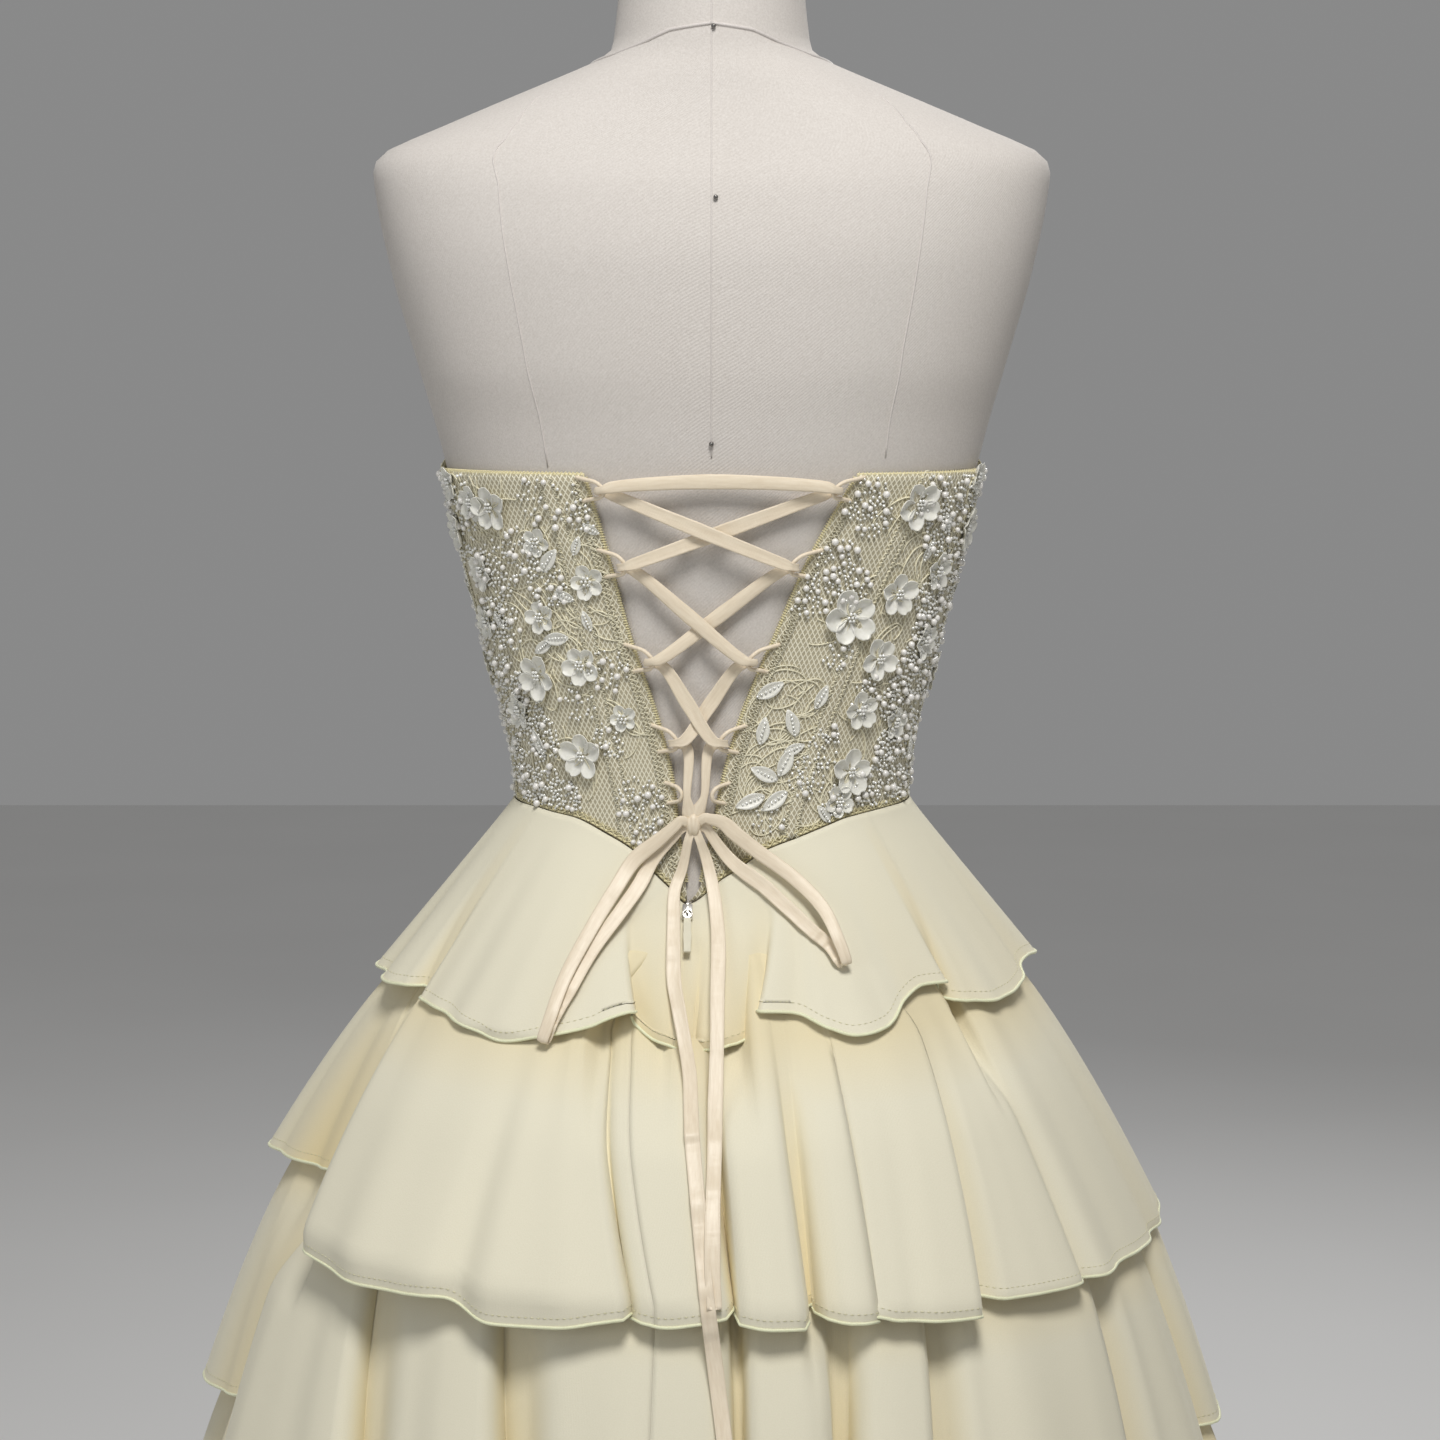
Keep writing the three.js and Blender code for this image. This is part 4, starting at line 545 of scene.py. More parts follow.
# The outward directions of a grid of points, whose rows run down and columns by the angle
def grid_outward(points):
    down = np.gradient(points, axis=0)
    along = np.gradient(points, axis=1)
    return unit(np.cross(down, along))


# A closed cloth wall inside a grid of points
def wall(outer, inner, ring=False):
    rows, columns = outer.shape[:2]
    size = rows * columns
    faces = grid_faces(rows, columns, 0, False, ring)
    faces += grid_faces(rows, columns, size, True, ring)
    last = (rows - 1) * columns
    for column in range(columns if ring else columns - 1):
        after = (column + 1) % columns
        faces.append((column, after, size + after, size + column))
        faces.append((last + after, last + column, size + last + column, size + last + after))
    if not ring:
        end = columns - 1
        for row in range(rows - 1):
            a, b = row * columns, (row + 1) * columns
            faces.append((a, size + a, size + b, b))
            faces.append((b + end, size + b + end, size + a + end, a + end))
    return np.concatenate([outer.reshape(-1, 3), inner.reshape(-1, 3)]), faces


# Rings of points closed into one body, with a point in the middle of each end
def loft(rings):
    rings = np.asarray(rings)
    count, sides = rings.shape[:2]
    faces = grid_faces(count, sides, 0, True, True)
    points = np.concatenate([rings.reshape(-1, 3), rings[:1].mean(1), rings[-1:].mean(1)])
    first, last = count * sides, count * sides + 1
    end = (count - 1) * sides
    for side in range(sides):
        after = (side + 1) % sides
        faces.append((first, after, side))
        faces.append((last, end + side, end + after))
    return points, faces


SHORTEST_SPAN = 1e-5


# One smooth curve through a route's points, by centripetal spans as the part's ribbons have
def smooth_route(route, steps):
    points = np.array(route, float)
    ends = [2 * points[0] - points[1], 2 * points[-1] - points[-2]]
    points = np.vstack([ends[0], points, ends[1]])
    curve = []
    for i in range(1, len(points) - 2):
        p0, p1, p2, p3 = points[i - 1:i + 3]
        d0, d1, d2 = (
            max(np.linalg.norm(b - a), SHORTEST_SPAN) ** 0.5
            for a, b in ((p0, p1), (p1, p2), (p2, p3))
        )
        t1 = ((p1 - p0) / d0 - (p2 - p0) / (d0 + d1) + (p2 - p1) / d1) * d1
        t2 = ((p2 - p1) / d1 - (p3 - p1) / (d1 + d2) + (p3 - p2) / d2) * d1
        for step in range(steps):
            t = step / steps
            curve.append(
                p1 * (2 * t ** 3 - 3 * t ** 2 + 1) + t1 * (t ** 3 - 2 * t ** 2 + t)
                + p2 * (3 * t ** 2 - 2 * t ** 3) + t2 * (t ** 3 - t ** 2)
            )
    curve.append(points[-2])
    return np.array(curve)


FACING_SIDEWAYS = 0.6
FREE_TURN = 0.5
FLANK_PASSES = 3
SQUARE_EDGES = 0.45
FLAT_FACES = 0.4
CREASE_REACH = 0.1


# A flat ribbon along a route, its face turned to the back of the body
def ribbon(route, steps, widths, thickness, sides=12, dish=0.0):
    curve = smooth_route(route, steps)
    along = unit(np.gradient(curve, axis=0))
    flank = np.array([1.0, 0.0, 0.0])
    flanks = []
    for place, tangent in zip(curve, along):
        facing = np.array([place[0] * FACING_SIDEWAYS, place[1], 0])
        wanted = np.cross(tangent, facing / np.linalg.norm(facing))
        if np.linalg.norm(wanted) > FREE_TURN:
            flank = -wanted if wanted @ flank < 0 else wanted
        flank = flank - (flank @ tangent) * tangent
        flank = flank / np.linalg.norm(flank)
        flanks.append(flank)
    flanks = np.array(flanks)
    for _ in range(FLANK_PASSES):
        flanks[1:-1] = unit(flanks[:-2] + 2 * flanks[1:-1] + flanks[2:])
    lifts = np.cross(along, flanks)
    wide = np.interp(np.linspace(0, 1, len(curve)), np.linspace(0, 1, len(widths)), widths)
    turns = np.radians(np.arange(sides) * FULL_TURN / sides)
    flat = np.sign(np.cos(turns)) * np.abs(np.cos(turns)) ** SQUARE_EDGES
    face = np.sign(np.sin(turns)) * np.abs(np.sin(turns)) ** FLAT_FACES
    middle = np.abs(flat) < CREASE_REACH
    rings = []
    for i, place in enumerate(curve):
        over = face * thickness / 2 + dish * (flat ** 2 - 0.5) - RIBBON_CREASE * middle
        rings.append(
            place + np.outer(flat * wide[i] / 2, flanks[i]) + np.outer(over, lifts[i])
        )
    return np.array(rings), curve, arc_length(curve)


def ribbon_uv(rings, length, width):
    count, sides = rings.shape[:2]
    turns = np.radians(np.arange(sides) * FULL_TURN / sides)
    across = np.tile(np.cos(turns) * width / 2, (count, 1))
    along = np.repeat(length[:, None], sides, axis=1)
    uv = np.stack([across, along], -1).reshape(-1, 2)
    return np.vstack([uv, [0, 0], [0, length[-1]]])


def add_ribbon(name, route, steps, widths, material, dish=0.0):
    rings, curve, length = ribbon(route, steps, widths, RIBBON_THICKNESS, dish=dish)
    points, faces = loft(rings)
    piece = add_piece(name, points, faces, material, uv=ribbon_uv(rings, length, RIBBON_WIDTH))
    return piece, curve, length[-1]


# A thin round thread along points, with outward directions to steady its section
def thread(points, outward, radius, sides=5):
    points = np.asarray(points)
    along = unit(np.gradient(points, axis=0))
    flank = unit(np.cross(along, outward))
    lift = np.cross(flank, along)
    turns = np.radians(np.arange(sides) * FULL_TURN / sides)
    radius = np.broadcast_to(radius, (len(points),))
    rings = (
        points[:, None]
        + radius[:, None, None] * np.cos(turns)[None, :, None] * flank[:, None]
        + radius[:, None, None] * np.sin(turns)[None, :, None] * lift[:, None]
    )
    return loft(rings[:, ::-1])


def joined(parts):
    points, faces, start = [], [], 0
    for part_points, part_faces in parts:
        points.append(part_points)
        faces += [tuple(start + corner for corner in face) for face in part_faces]
        start += len(part_points)
    return np.concatenate(points), faces


# Copies of one modelled shape, set at places with their directions and sizes
def planted(shape, places, frames, sizes):
    points, faces = shape
    sizes = np.broadcast_to(np.asarray(sizes, float), (len(places),))
    spread = np.einsum("pi,nij->npj", points, frames) * sizes[:, None, None] + places[:, None]
    count = len(points)
    corners = [
        tuple(index * count + corner for corner in face)
        for index in range(len(places)) for face in faces
    ]
    return spread.reshape(-1, 3), corners


# The points and faces of a piece modelled by hand, which is then taken out of the scene
def shape_of(piece):
    points = np.array([vertex.co[:] for vertex in piece.data.vertices])
    faces = [tuple(face.vertices) for face in piece.data.polygons]
    bpy.data.objects.remove(piece)
    return points, faces


def turned_frames(frames, turns):
    turns = np.radians(np.asarray(turns, float))[:, None]
    across = np.cos(turns) * frames[:, 0] + np.sin(turns) * frames[:, 1]
    up = -np.sin(turns) * frames[:, 0] + np.cos(turns) * frames[:, 1]
    return np.stack([across, up, frames[:, 2]], 1)


# A material with its own values, and its parts to build on
def new_material(name, colour, roughness, **sockets):
    material = bpy.data.materials.new(name)
    material.use_nodes = True
    shader = material.node_tree.nodes["Principled BSDF"]
    shader.inputs["Base Color"].default_value = (*colour, 1)
    shader.inputs["Roughness"].default_value = roughness
    for socket, value in sockets.items():
        shader.inputs[socket.replace("_", " ")].default_value = value
    return material, material.node_tree.nodes, material.node_tree.links, shader


def node(nodes, kind, **values):
    made = nodes.new(kind)
    for name, value in values.items():
        if name in made.inputs:
            made.inputs[name].default_value = value
        else:
            setattr(made, name, value)
    return made


def coordinates(nodes, links, output, scale=(1, 1, 1), rotation=(0, 0, 0)):
    source = nodes.new("ShaderNodeTexCoord")
    mapping = nodes.new("ShaderNodeMapping")
    mapping.inputs["Scale"].default_value = scale
    mapping.inputs["Rotation"].default_value = rotation
    links.new(source.outputs[output], mapping.inputs["Vector"])
    return mapping.outputs["Vector"]


def mixed(nodes, links, factor, first, second, blend="MIX"):
    mix = nodes.new("ShaderNodeMix")
    mix.data_type = "RGBA"
    mix.blend_type = blend
    for socket, value in (("Factor", factor), ("A", first), ("B", second)):
        target = [
            i for i in mix.inputs if i.name == socket and (socket == "Factor" or i.type == "RGBA")
        ][0]
        if isinstance(value, (int, float)):
            target.default_value = value
        elif isinstance(value, tuple):
            target.default_value = (*value, 1)
        else:
            links.new(value, target)
    return [output for output in mix.outputs if output.type == "RGBA"][0]


def ramped(nodes, links, value, low, high):
    ramp = nodes.new("ShaderNodeMapRange")
    ramp.inputs["From Min"].default_value = low
    ramp.inputs["From Max"].default_value = high
    links.new(value, ramp.inputs["Value"])
    return ramp.outputs["Result"]


def bumped(nodes, links, shader, heights, distance, strength=1.0):
    bump_node = nodes.new("ShaderNodeBump")
    bump_node.inputs["Distance"].default_value = distance
    bump_node.inputs["Strength"].default_value = strength
    links.new(heights, bump_node.inputs["Height"])
    links.new(bump_node.outputs["Normal"], shader.inputs["Normal"])


def noise(nodes, links, vector, scale, detail=3.0, roughness=0.6):
    texture = node(nodes, "ShaderNodeTexNoise", Scale=scale, Detail=detail, Roughness=roughness)
    links.new(vector, texture.inputs["Vector"])
    return texture.outputs["Fac"]


def bands(nodes, links, vector, scale, direction="X"):
    texture = node(nodes, "ShaderNodeTexWave", Scale=scale, bands_direction=direction)
    links.new(vector, texture.inputs["Vector"])
    return texture.outputs["Fac"]


def combined(nodes, links, operation, first, second):
    maths = nodes.new("ShaderNodeMath")
    maths.operation = operation
    for index, value in enumerate((first, second)):
        if isinstance(value, (int, float)):
            maths.inputs[index].default_value = value
        else:
            links.new(value, maths.inputs[index])
    return maths.outputs[0]


# Double crepe chiffon: butter cream, with painted warm shade where folds turn the light in and a
# painted shadow below each hem above, both read from the shade attribute
def chiffon_material():
    material, nodes, links, shader = new_material(
        "butter_chiffon", (0.82, 0.77, 0.55), 0.78, Sheen_Weight=0.15, Sheen_Roughness=0.4,
        Specular_IOR_Level=0.25,
    )
    shader.inputs["Sheen Tint"].default_value = (1, 0.97, 0.85, 1)
    cloth = coordinates(nodes, links, "UV")
    shade = node(nodes, "ShaderNodeAttribute", attribute_name="shade").outputs["Fac"]
    patches = noise(nodes, links, cloth, 9.0, 2.0)
    lit = mixed(nodes, links, patches, (0.79, 0.755, 0.61), (0.83, 0.79, 0.635))
    # Painted shade: the shade attribute pulls the cloth towards a deep warm tone
    painted_shade_tone = mixed(nodes, links, shade, lit, (0.82, 0.69, 0.40))
    crepe = noise(nodes, links, cloth, 1500.0, 2.0, 0.7)
    grain = mixed(nodes, links, ramped(nodes, links, crepe, 0.35, 0.75), (0.955, 0.95, 0.93), (1, 1, 1))
    links.new(mixed(nodes, links, 1.0, painted_shade_tone, grain, "MULTIPLY"), shader.inputs["Base Color"])
    weave = bands(nodes, links, cloth, 420.0)
    heights = combined(nodes, links, "ADD", crepe, combined(nodes, links, "MULTIPLY", weave, 0.35))
    bumped(nodes, links, shader, heights, 0.00012, 0.6)
    return material


# Champagne satin ribbon, slubbed along its length
def satin_material():
    material, nodes, links, shader = new_material(
        "champagne_satin", (0.78, 0.65, 0.5), 0.34, Sheen_Weight=0.1, Anisotropic=0.35,
        Specular_IOR_Level=0.45,
    )
    cloth = coordinates(nodes, links, "UV")
    slub = noise(nodes, links, coordinates(nodes, links, "UV", (1, 0.08, 1)), 900.0, 3.0)
    streaks = ramped(nodes, links, slub, 0.3, 0.7)
    tone = mixed(nodes, links, streaks, (0.78, 0.665, 0.50), (0.88, 0.775, 0.61))
    links.new(tone, shader.inputs["Base Color"])
    threads = bands(nodes, links, cloth, 800.0)
    puckers = noise(nodes, links, coordinates(nodes, links, "UV", (0.4, 1, 1)), 260.0, 2.0)
    heights = combined(nodes, links, "ADD", puckers, combined(nodes, links, "MULTIPLY", threads, 0.2))
    bumped(nodes, links, shader, heights, 0.00035, 0.5)
    return material


NET_SCALE = 122.0


# Diamond net over cream lining
def net_material():
    material, nodes, links, shader = new_material(
        "yellow_net", (0.6, 0.54, 0.34), 0.72, Sheen_Weight=0.15, Specular_IOR_Level=0.3,
    )
    crossing = []
    for lean in (34, -34):
        leaning = coordinates(nodes, links, "UV", rotation=(0, 0, math.radians(lean)))
        crossing.append(bands(nodes, links, leaning, NET_SCALE))
    threads = combined(nodes, links, "MAXIMUM", *crossing)
    sharp = ramped(nodes, links, threads, 0.72, 0.93)
    patches = noise(nodes, links, coordinates(nodes, links, "UV"), 30.0)
    lining = mixed(nodes, links, patches, (0.41, 0.365, 0.245), (0.52, 0.465, 0.33))
    links.new(mixed(nodes, links, sharp, lining, (0.88, 0.84, 0.67)), shader.inputs["Base Color"])
    bumped(nodes, links, shader, sharp, 0.00035, 0.8)
    return material


def thread_material(name, colour, deeper):
    material, nodes, links, shader = new_material(name, colour, 0.6, Sheen_Weight=0.3)
    place = coordinates(nodes, links, "Object")
    twist = noise(nodes, links, place, 1400.0, 2.0)
    links.new(
        mixed(nodes, links, ramped(nodes, links, twist, 0.3, 0.7), deeper, colour),
        shader.inputs["Base Color"],
    )
    bumped(nodes, links, shader, twist, 0.0002, 0.6)
    return material


def petal_material():
    material, nodes, links, shader = new_material(
        "ivory_organza", (0.9, 0.88, 0.8), 0.38, Sheen_Weight=0.2, Specular_IOR_Level=0.5,
        Transmission_Weight=0.12,
    )
    place = coordinates(nodes, links, "Object")
    veins = noise(nodes, links, place, 380.0, 3.0)
    lines = ramped(nodes, links, veins, 0.3, 0.7)
    tone = mixed(nodes, links, lines, (0.85, 0.84, 0.75), (0.95, 0.94, 0.88))
    links.new(tone, shader.inputs["Base Color"])
    bumped(nodes, links, shader, veins, 0.0003, 0.5)
    return material


def pearl_material():
    material, nodes, links, shader = new_material(
        "ivory_pearl", (0.84, 0.83, 0.79), 0.18, Coat_Weight=0.6, Coat_Roughness=0.06,
        Specular_IOR_Level=0.6,
    )
    place = coordinates(nodes, links, "Object")
    lustre = noise(nodes, links, place, 300.0, 2.0)
    tone = mixed(nodes, links, lustre, (0.78, 0.76, 0.72), (0.9, 0.88, 0.84))
    links.new(tone, shader.inputs["Base Color"])
    return material


def bead_material():
    material, nodes, links, shader = new_material(
        "silver_lined_beads", (0.88, 0.88, 0.84), 0.14, Metallic=0.1, Coat_Weight=0.8,
        Coat_Roughness=0.05,
    )
    place = coordinates(nodes, links, "Object")
    sparkle = noise(nodes, links, place, 520.0, 2.0)
    glints = ramped(nodes, links, sparkle, 0.35, 0.65)
    tone = mixed(nodes, links, glints, (0.76, 0.76, 0.71), (0.97, 0.97, 0.94))
    links.new(tone, shader.inputs["Base Color"])
    return material


# Off-white twill stretched on the dress form
def form_material():
    material, nodes, links, shader = new_material(
        "form_twill", (0.66, 0.625, 0.6), 0.88, Sheen_Weight=0.1, Specular_IOR_Level=0.2,
    )
    cloth = coordinates(nodes, links, "UV", rotation=(0, 0, math.radians(38)))
    twill = bands(nodes, links, cloth, 260.0)
    place = coordinates(nodes, links, "Object")
    slubs = noise(nodes, links, place, 900.0, 3.0, 0.7)
    soil = noise(nodes, links, place, 6.0, 3.0)
    base = mixed(nodes, links, soil, (0.655, 0.615, 0.575), (0.70, 0.665, 0.63))
    speck = mixed(nodes, links, ramped(nodes, links, slubs, 0.32, 0.68), (0.86, 0.85, 0.84), (1, 1, 1))
    links.new(mixed(nodes, links, 1.0, base, speck, "MULTIPLY"), shader.inputs["Base Color"])
    heights = combined(nodes, links, "ADD", slubs, combined(nodes, links, "MULTIPLY", twill, 0.5))
    bumped(nodes, links, shader, heights, 0.00025, 0.6)
    return material


def metal_material(name, colour, roughness, scratch):
    material, nodes, links, shader = new_material(name, colour, roughness, Metallic=1.0)
    place = coordinates(nodes, links, "Object", (1, 1, 0.1))
    wear = noise(nodes, links, place, scratch, 4.0)
    low, high = tuple(value * 0.85 for value in colour), tuple(min(1, value * 1.08) for value in colour)
    links.new(mixed(nodes, links, wear, low, high), shader.inputs["Base Color"])
    bumped(nodes, links, shader, wear, 0.00005, 0.4)
    return material


def floor_material():
    material, nodes, links, shader = new_material("pale_floor", (0.8, 0.79, 0.78), 0.9)
    place = coordinates(nodes, links, "Object")
    cloudy = noise(nodes, links, place, 1.5, 2.0)
    tone = mixed(nodes, links, cloudy, (0.78, 0.775, 0.765), (0.83, 0.825, 0.815))
    links.new(tone, shader.inputs["Base Color"])
    return material


CHIFFON_CLOTH = chiffon_material()
SATIN = satin_material()
NET = net_material()
CORDING = thread_material("cream_cording", (0.88, 0.84, 0.66), (0.72, 0.67, 0.48))
EDGE_THREAD = thread_material("yellow_edge_thread", (0.86, 0.80, 0.52), (0.68, 0.6, 0.34))
HEM_THREAD = thread_material("hem_thread", (0.76, 0.74, 0.5), (0.66, 0.62, 0.38))
HEM_CORD = thread_material("hem_cord", (0.86, 0.88, 0.64), (0.78, 0.79, 0.52))
SEAM_THREAD = thread_material("form_seam_thread", (0.66, 0.62, 0.59), (0.58, 0.54, 0.51))
ORGANZA = petal_material()
PEARL = pearl_material()
BEADS = bead_material()
TWILL = form_material()
STEEL = metal_material("brushed_steel", (0.5, 0.49, 0.47), 0.32, 60.0)
PIN_STEEL = metal_material("pin_steel", (0.24, 0.23, 0.22), 0.3, 800.0)
ZIP_METAL = metal_material("zip_metal", (0.72, 0.7, 0.66), 0.28, 900.0)


# The camera
def add_camera():
    data = bpy.data.cameras.new("photo_camera")
    data.sensor_fit = "HORIZONTAL"
    data.angle = FIELD_OF_VIEW
    data.clip_end = 50
    camera = bpy.data.objects.new("photo_camera", data)
    camera.location = EYE
    camera.rotation_euler = (TARGET - EYE).to_track_quat("-Z", "Y").to_euler()
    bpy.context.scene.collection.objects.link(camera)
    bpy.context.scene.camera = camera


# Look-up between the rows of a table, level at each row
def eased(table, key, column=1):
    rows = np.array(table, float)
    x, y = rows[:, 0], rows[:, column]
    i = np.clip(np.searchsorted(x, key, side="right") - 1, 0, len(x) - 2)
    return y[i] + (y[i + 1] - y[i]) * ease(np.clip((key - x[i]) / (x[i + 1] - x[i]), 0, 1))


def underskirt_at(level):
    return [smooth(UNDERSKIRT, level, column) for column in (1, 2)]


def tier_top(tier, angle):
    if tier["top"] is None:
        return waist_level(angle) - WAIST_GAP
    return np.full(np.shape(angle), tier["top"])


def tier_hem(tier, angle):
    sideways, backwards = tier["drop"]
    turn = np.radians(angle)
    return tier["hem"] - sideways * np.sin(turn) - backwards * np.cos(turn)


def hem_lift(tier, angle):
    return smooth(tier["hem_line"], wrapped(angle, -SIDE), 1)


# A tier's half width and half depth before the tier above presses it
def own_size(tier, angle, level):
    top = tier_top(tier, angle)
    share = np.clip((top - level) / (top - tier_hem(tier, angle)), 0, 1)
    ripple = sum(depth * np.sin(np.radians(angle * count + turn)) for depth, count, turn in RIPPLES)
    growth = eased(tier["folds"], wrapped(angle, -SIDE), 2)
    fold = (eased(tier["folds"], wrapped(angle, -SIDE)) + ripple) * share ** growth
    start = [size + TIER_SEAT for size in underskirt_at(top)]
    return [s + (end - s) * share ** tier["flare"] + fold for s, end in zip(start, tier["size"])]


# A size kept above a least size, without a crease where they meet
def kept_off(size, least):
    return (size + least + np.hypot(size - least, SOFT_MEETING)) / 2 - MEETING_SUNK


# A tier's half width and half depth, kept inside the tier above and let go below its hem
def tier_size(index, angle, level):
    tier = TIERS[index]
    own = own_size(tier, angle, level)
    if index == 0:
        room = TIER_SEAT + NEXT_SEAM_ROOM * np.clip((NEXT_SEAM_TOP - level) / NEXT_SEAM_SPAN, 0, 1)
        return [kept_off(size, carrier + room) for size, carrier in zip(own, underskirt_at(level))]
    upper_hem = tier_hem(TIERS[index - 1], angle)
    pressed = np.maximum(level, upper_hem)
    upper = tier_size(index - 1, angle, pressed)
    held = own_size(tier, angle, pressed)
    release = ease(np.maximum(0, 1 - np.maximum(0, upper_hem - HEM_TUCK - level) / RELEASE))
    sizes = []
    for size, over, kept, carrier in zip(own, upper, held, underskirt_at(level)):
        pressed_in = np.maximum(0, kept - (over - LAYER_GAP)) * release
        sizes.append(np.maximum(size - pressed_in, carrier + TIER_SEAT))
    return sizes


# How far a tier's points move sideways, so that fold edges roll over the troughs beside them
def roll_over(index, angle, level):
    tier = TIERS[index]
    slope = (
        eased(tier["folds"], wrapped(angle + SLOPE_STEP, -SIDE))
        - eased(tier["folds"], wrapped(angle - SLOPE_STEP, -SIDE))
    ) / (np.radians(2 * SLOPE_STEP) * tier["size"][0])
    reach = -ROLL * np.clip(slope, -STEEPEST, STEEPEST)
    reach = reach + sum(r * bump(angle, middle, spread) for middle, r, spread in tier["lips"])
    top, hem = tier_top(tier, angle), tier_hem(tier, angle)
    share = np.clip((top - level) / (top - hem), 0, 1)
    growth = eased(tier["folds"], wrapped(angle, -SIDE), 2)
    lean = sum(degrees * bump(angle, middle, spread) for middle, degrees, spread in tier["leans"])
    let_go = ease(np.clip(share / LEAN_START, 0, 1))
    return reach * share ** growth, np.radians(lean) * (1 - share) * let_go


def tier_columns():
    back = np.arange(-SIDE, SIDE, BACK_STEP)
    front = np.arange(SIDE, FULL_TURN - SIDE + FRONT_STEP / 2, FRONT_STEP)
    return np.concatenate([back, front])


COLUMNS = tier_columns()


def tier_rows(index, angle):
    tier = TIERS[index]
    top = tier_top(tier, angle)
    hem = tier_hem(tier, angle) + hem_lift(tier, angle)
    if index == 0:
        shares = np.linspace(0, 1, HIDDEN_ROWS + SHOWN_ROWS)
        levels = [top + (hem - top) * share for share in shares]
    else:
        tucked = tier_hem(TIERS[index - 1], angle) + HEM_TUCK
        levels = [top + (tucked - top) * share for share in np.linspace(0, 1, HIDDEN_ROWS)]
        levels += [tucked + (hem - tucked) * share for share in np.linspace(0, 1, SHOWN_ROWS + 1)[1:]]
    above_hem = levels[-1] + HEM_WIDTH
    levels[-2:] = [above_hem, above_hem - HEM_FOLD, levels[-1] + HEM_EDGE, levels[-1]]
    return np.array(levels)


def tier_grid(index, angles):
    levels = tier_rows(index, angles)
    columns = np.broadcast_to(angles, levels.shape)
    half_width, half_depth = tier_size(index, columns, levels)
    reach, lean = roll_over(index, columns, levels)
    turn = np.radians(columns) + reach / half_width + lean
    return np.stack([half_width * np.sin(turn), -half_depth * np.cos(turn), levels], -1)


# The tiers' points, and those of them at the back, which the ribbons hang in front of
TIER_GRIDS = [tier_grid(index, COLUMNS) for index in range(len(TIERS))]
BACK_OF_SKIRT = -0.08
CLOTH_POINTS = np.concatenate([grid[grid[..., 1] < BACK_OF_SKIRT] for grid in TIER_GRIDS])


# The bow's loops and tails
CORD_STEPS = 3
DRAPE_STEPS = 4
DRAPE_PASSES = 2
HELD_SHARE = 0.3
LOOP_DISH = 0.0003
TAIL_DISH = 0.0004
BESIDE = 0.0036
NEAR_LEVEL = 0.005
ON_CLOTH = 0.0012
BOW_WIDTHS = [0.005, 0.0084, 0.0078, 0.0072, 0.006, 0.0068, 0.0074, 0.008, 0.005]
TAIL_WIDTHS = [0.0045, 0.0066, 0.0078, 0.0072, 0.0078, 0.0074, 0.008, 0.0076]


# A hanging ribbon's route, brought in front of the folds that it crosses
def over_cloth(route):
    points = smooth_route(route, DRAPE_STEPS)
    for point in points:
        near = (np.abs(CLOTH_POINTS[:, 0] - point[0]) < BESIDE) & (
            np.abs(CLOTH_POINTS[:, 2] - point[2]) < NEAR_LEVEL)
        if near.any():
            point[1] = min(point[1], CLOTH_POINTS[near, 1].min() - ON_CLOTH)
    settled = points.copy()
    for _ in range(DRAPE_PASSES):
        settled[1:-1, 1] = (settled[:-2, 1] + 2 * settled[1:-1, 1] + settled[2:, 1]) / 4
    points[:, 1] = np.minimum(points[:, 1], settled[:, 1])
    return points


# A ribbon's end, taken into the knot that holds it
def into_knot(route, ends):
    centre = np.array(KNOT_CENTRE)
    points = [np.array(point) for point in route]
    for end in ends:
        held = centre + (points[end] - centre) * HELD_SHARE
        points.insert(0 if end == 0 else len(points), held)
    return points


def add_bow_cord(name, route, far_end, dish):
    looped = far_end == "object"
    route = into_knot(over_cloth(route), [0, -1] if looped else [0])
    widths = BOW_WIDTHS if looped else TAIL_WIDTHS
    piece, curve, length = add_ribbon(name + "_satin", route, CORD_STEPS, widths, SATIN, dish)
    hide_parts(name)


def add_bow():
    add_bow_cord("bow_loop_left", BOW_LOOP_LEFT, "object", LOOP_DISH)
    add_bow_cord("bow_loop_right", BOW_LOOP_RIGHT, "object", LOOP_DISH)
    add_bow_cord("tail_left", TAIL_LEFT, "bare", TAIL_DISH)
    add_bow_cord("tail_right", TAIL_RIGHT, "bare", TAIL_DISH)


add_camera()
add_bow()


# How far a laced edge lies from the middle at a level
def laced_edge(side, level):
    column = 1 if side == "left" else 2
    return smooth(BACK_OPENING, level, column)


def beside_edge(side, level, reach, out):
    x = laced_edge(side, level) + (reach if side == "left" else -reach)
    return body_point(body_angle(x, level, out), level, out)


def loop_route(side, index):
    level, reach = LOOP_LEVELS[index], LOOP_REACHES[index]
    above, below, shoulder = LOOP_UPPER_FEET[index], -LOOP_HALF_SPAN, LOOP_RISE * 0.8
    stations = [
        (-0.004, above + 0.001, -0.0018), (0, above, 0.0004), (reach * 0.7, above * 0.7, shoulder),
        (reach, 0, LOOP_RISE), (reach * 0.7, below * 0.7, shoulder), (0, below, 0.0004),
        (-0.004, below - 0.001, -0.0018),
    ]
    return [beside_edge(side, level + up, into, LOOP_OUT + rise) for into, up, rise in stations]


def add_loops():
    for index in range(len(LOOP_LEVELS)):
        for side in ("left", "right"):
            name = f"loop_{side}_{index + 1}"
            curve = smooth_route(loop_route(side, index), 6)
            outward = unit(curve * LEVEL_ONLY)
            points, faces = thread(curve, outward, LOOP_THICKNESS / 2, 8)
            piece = add_piece(name + "_rouleau", points, faces, SATIN, uv=points[:, [0, 2]])
            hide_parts(name)


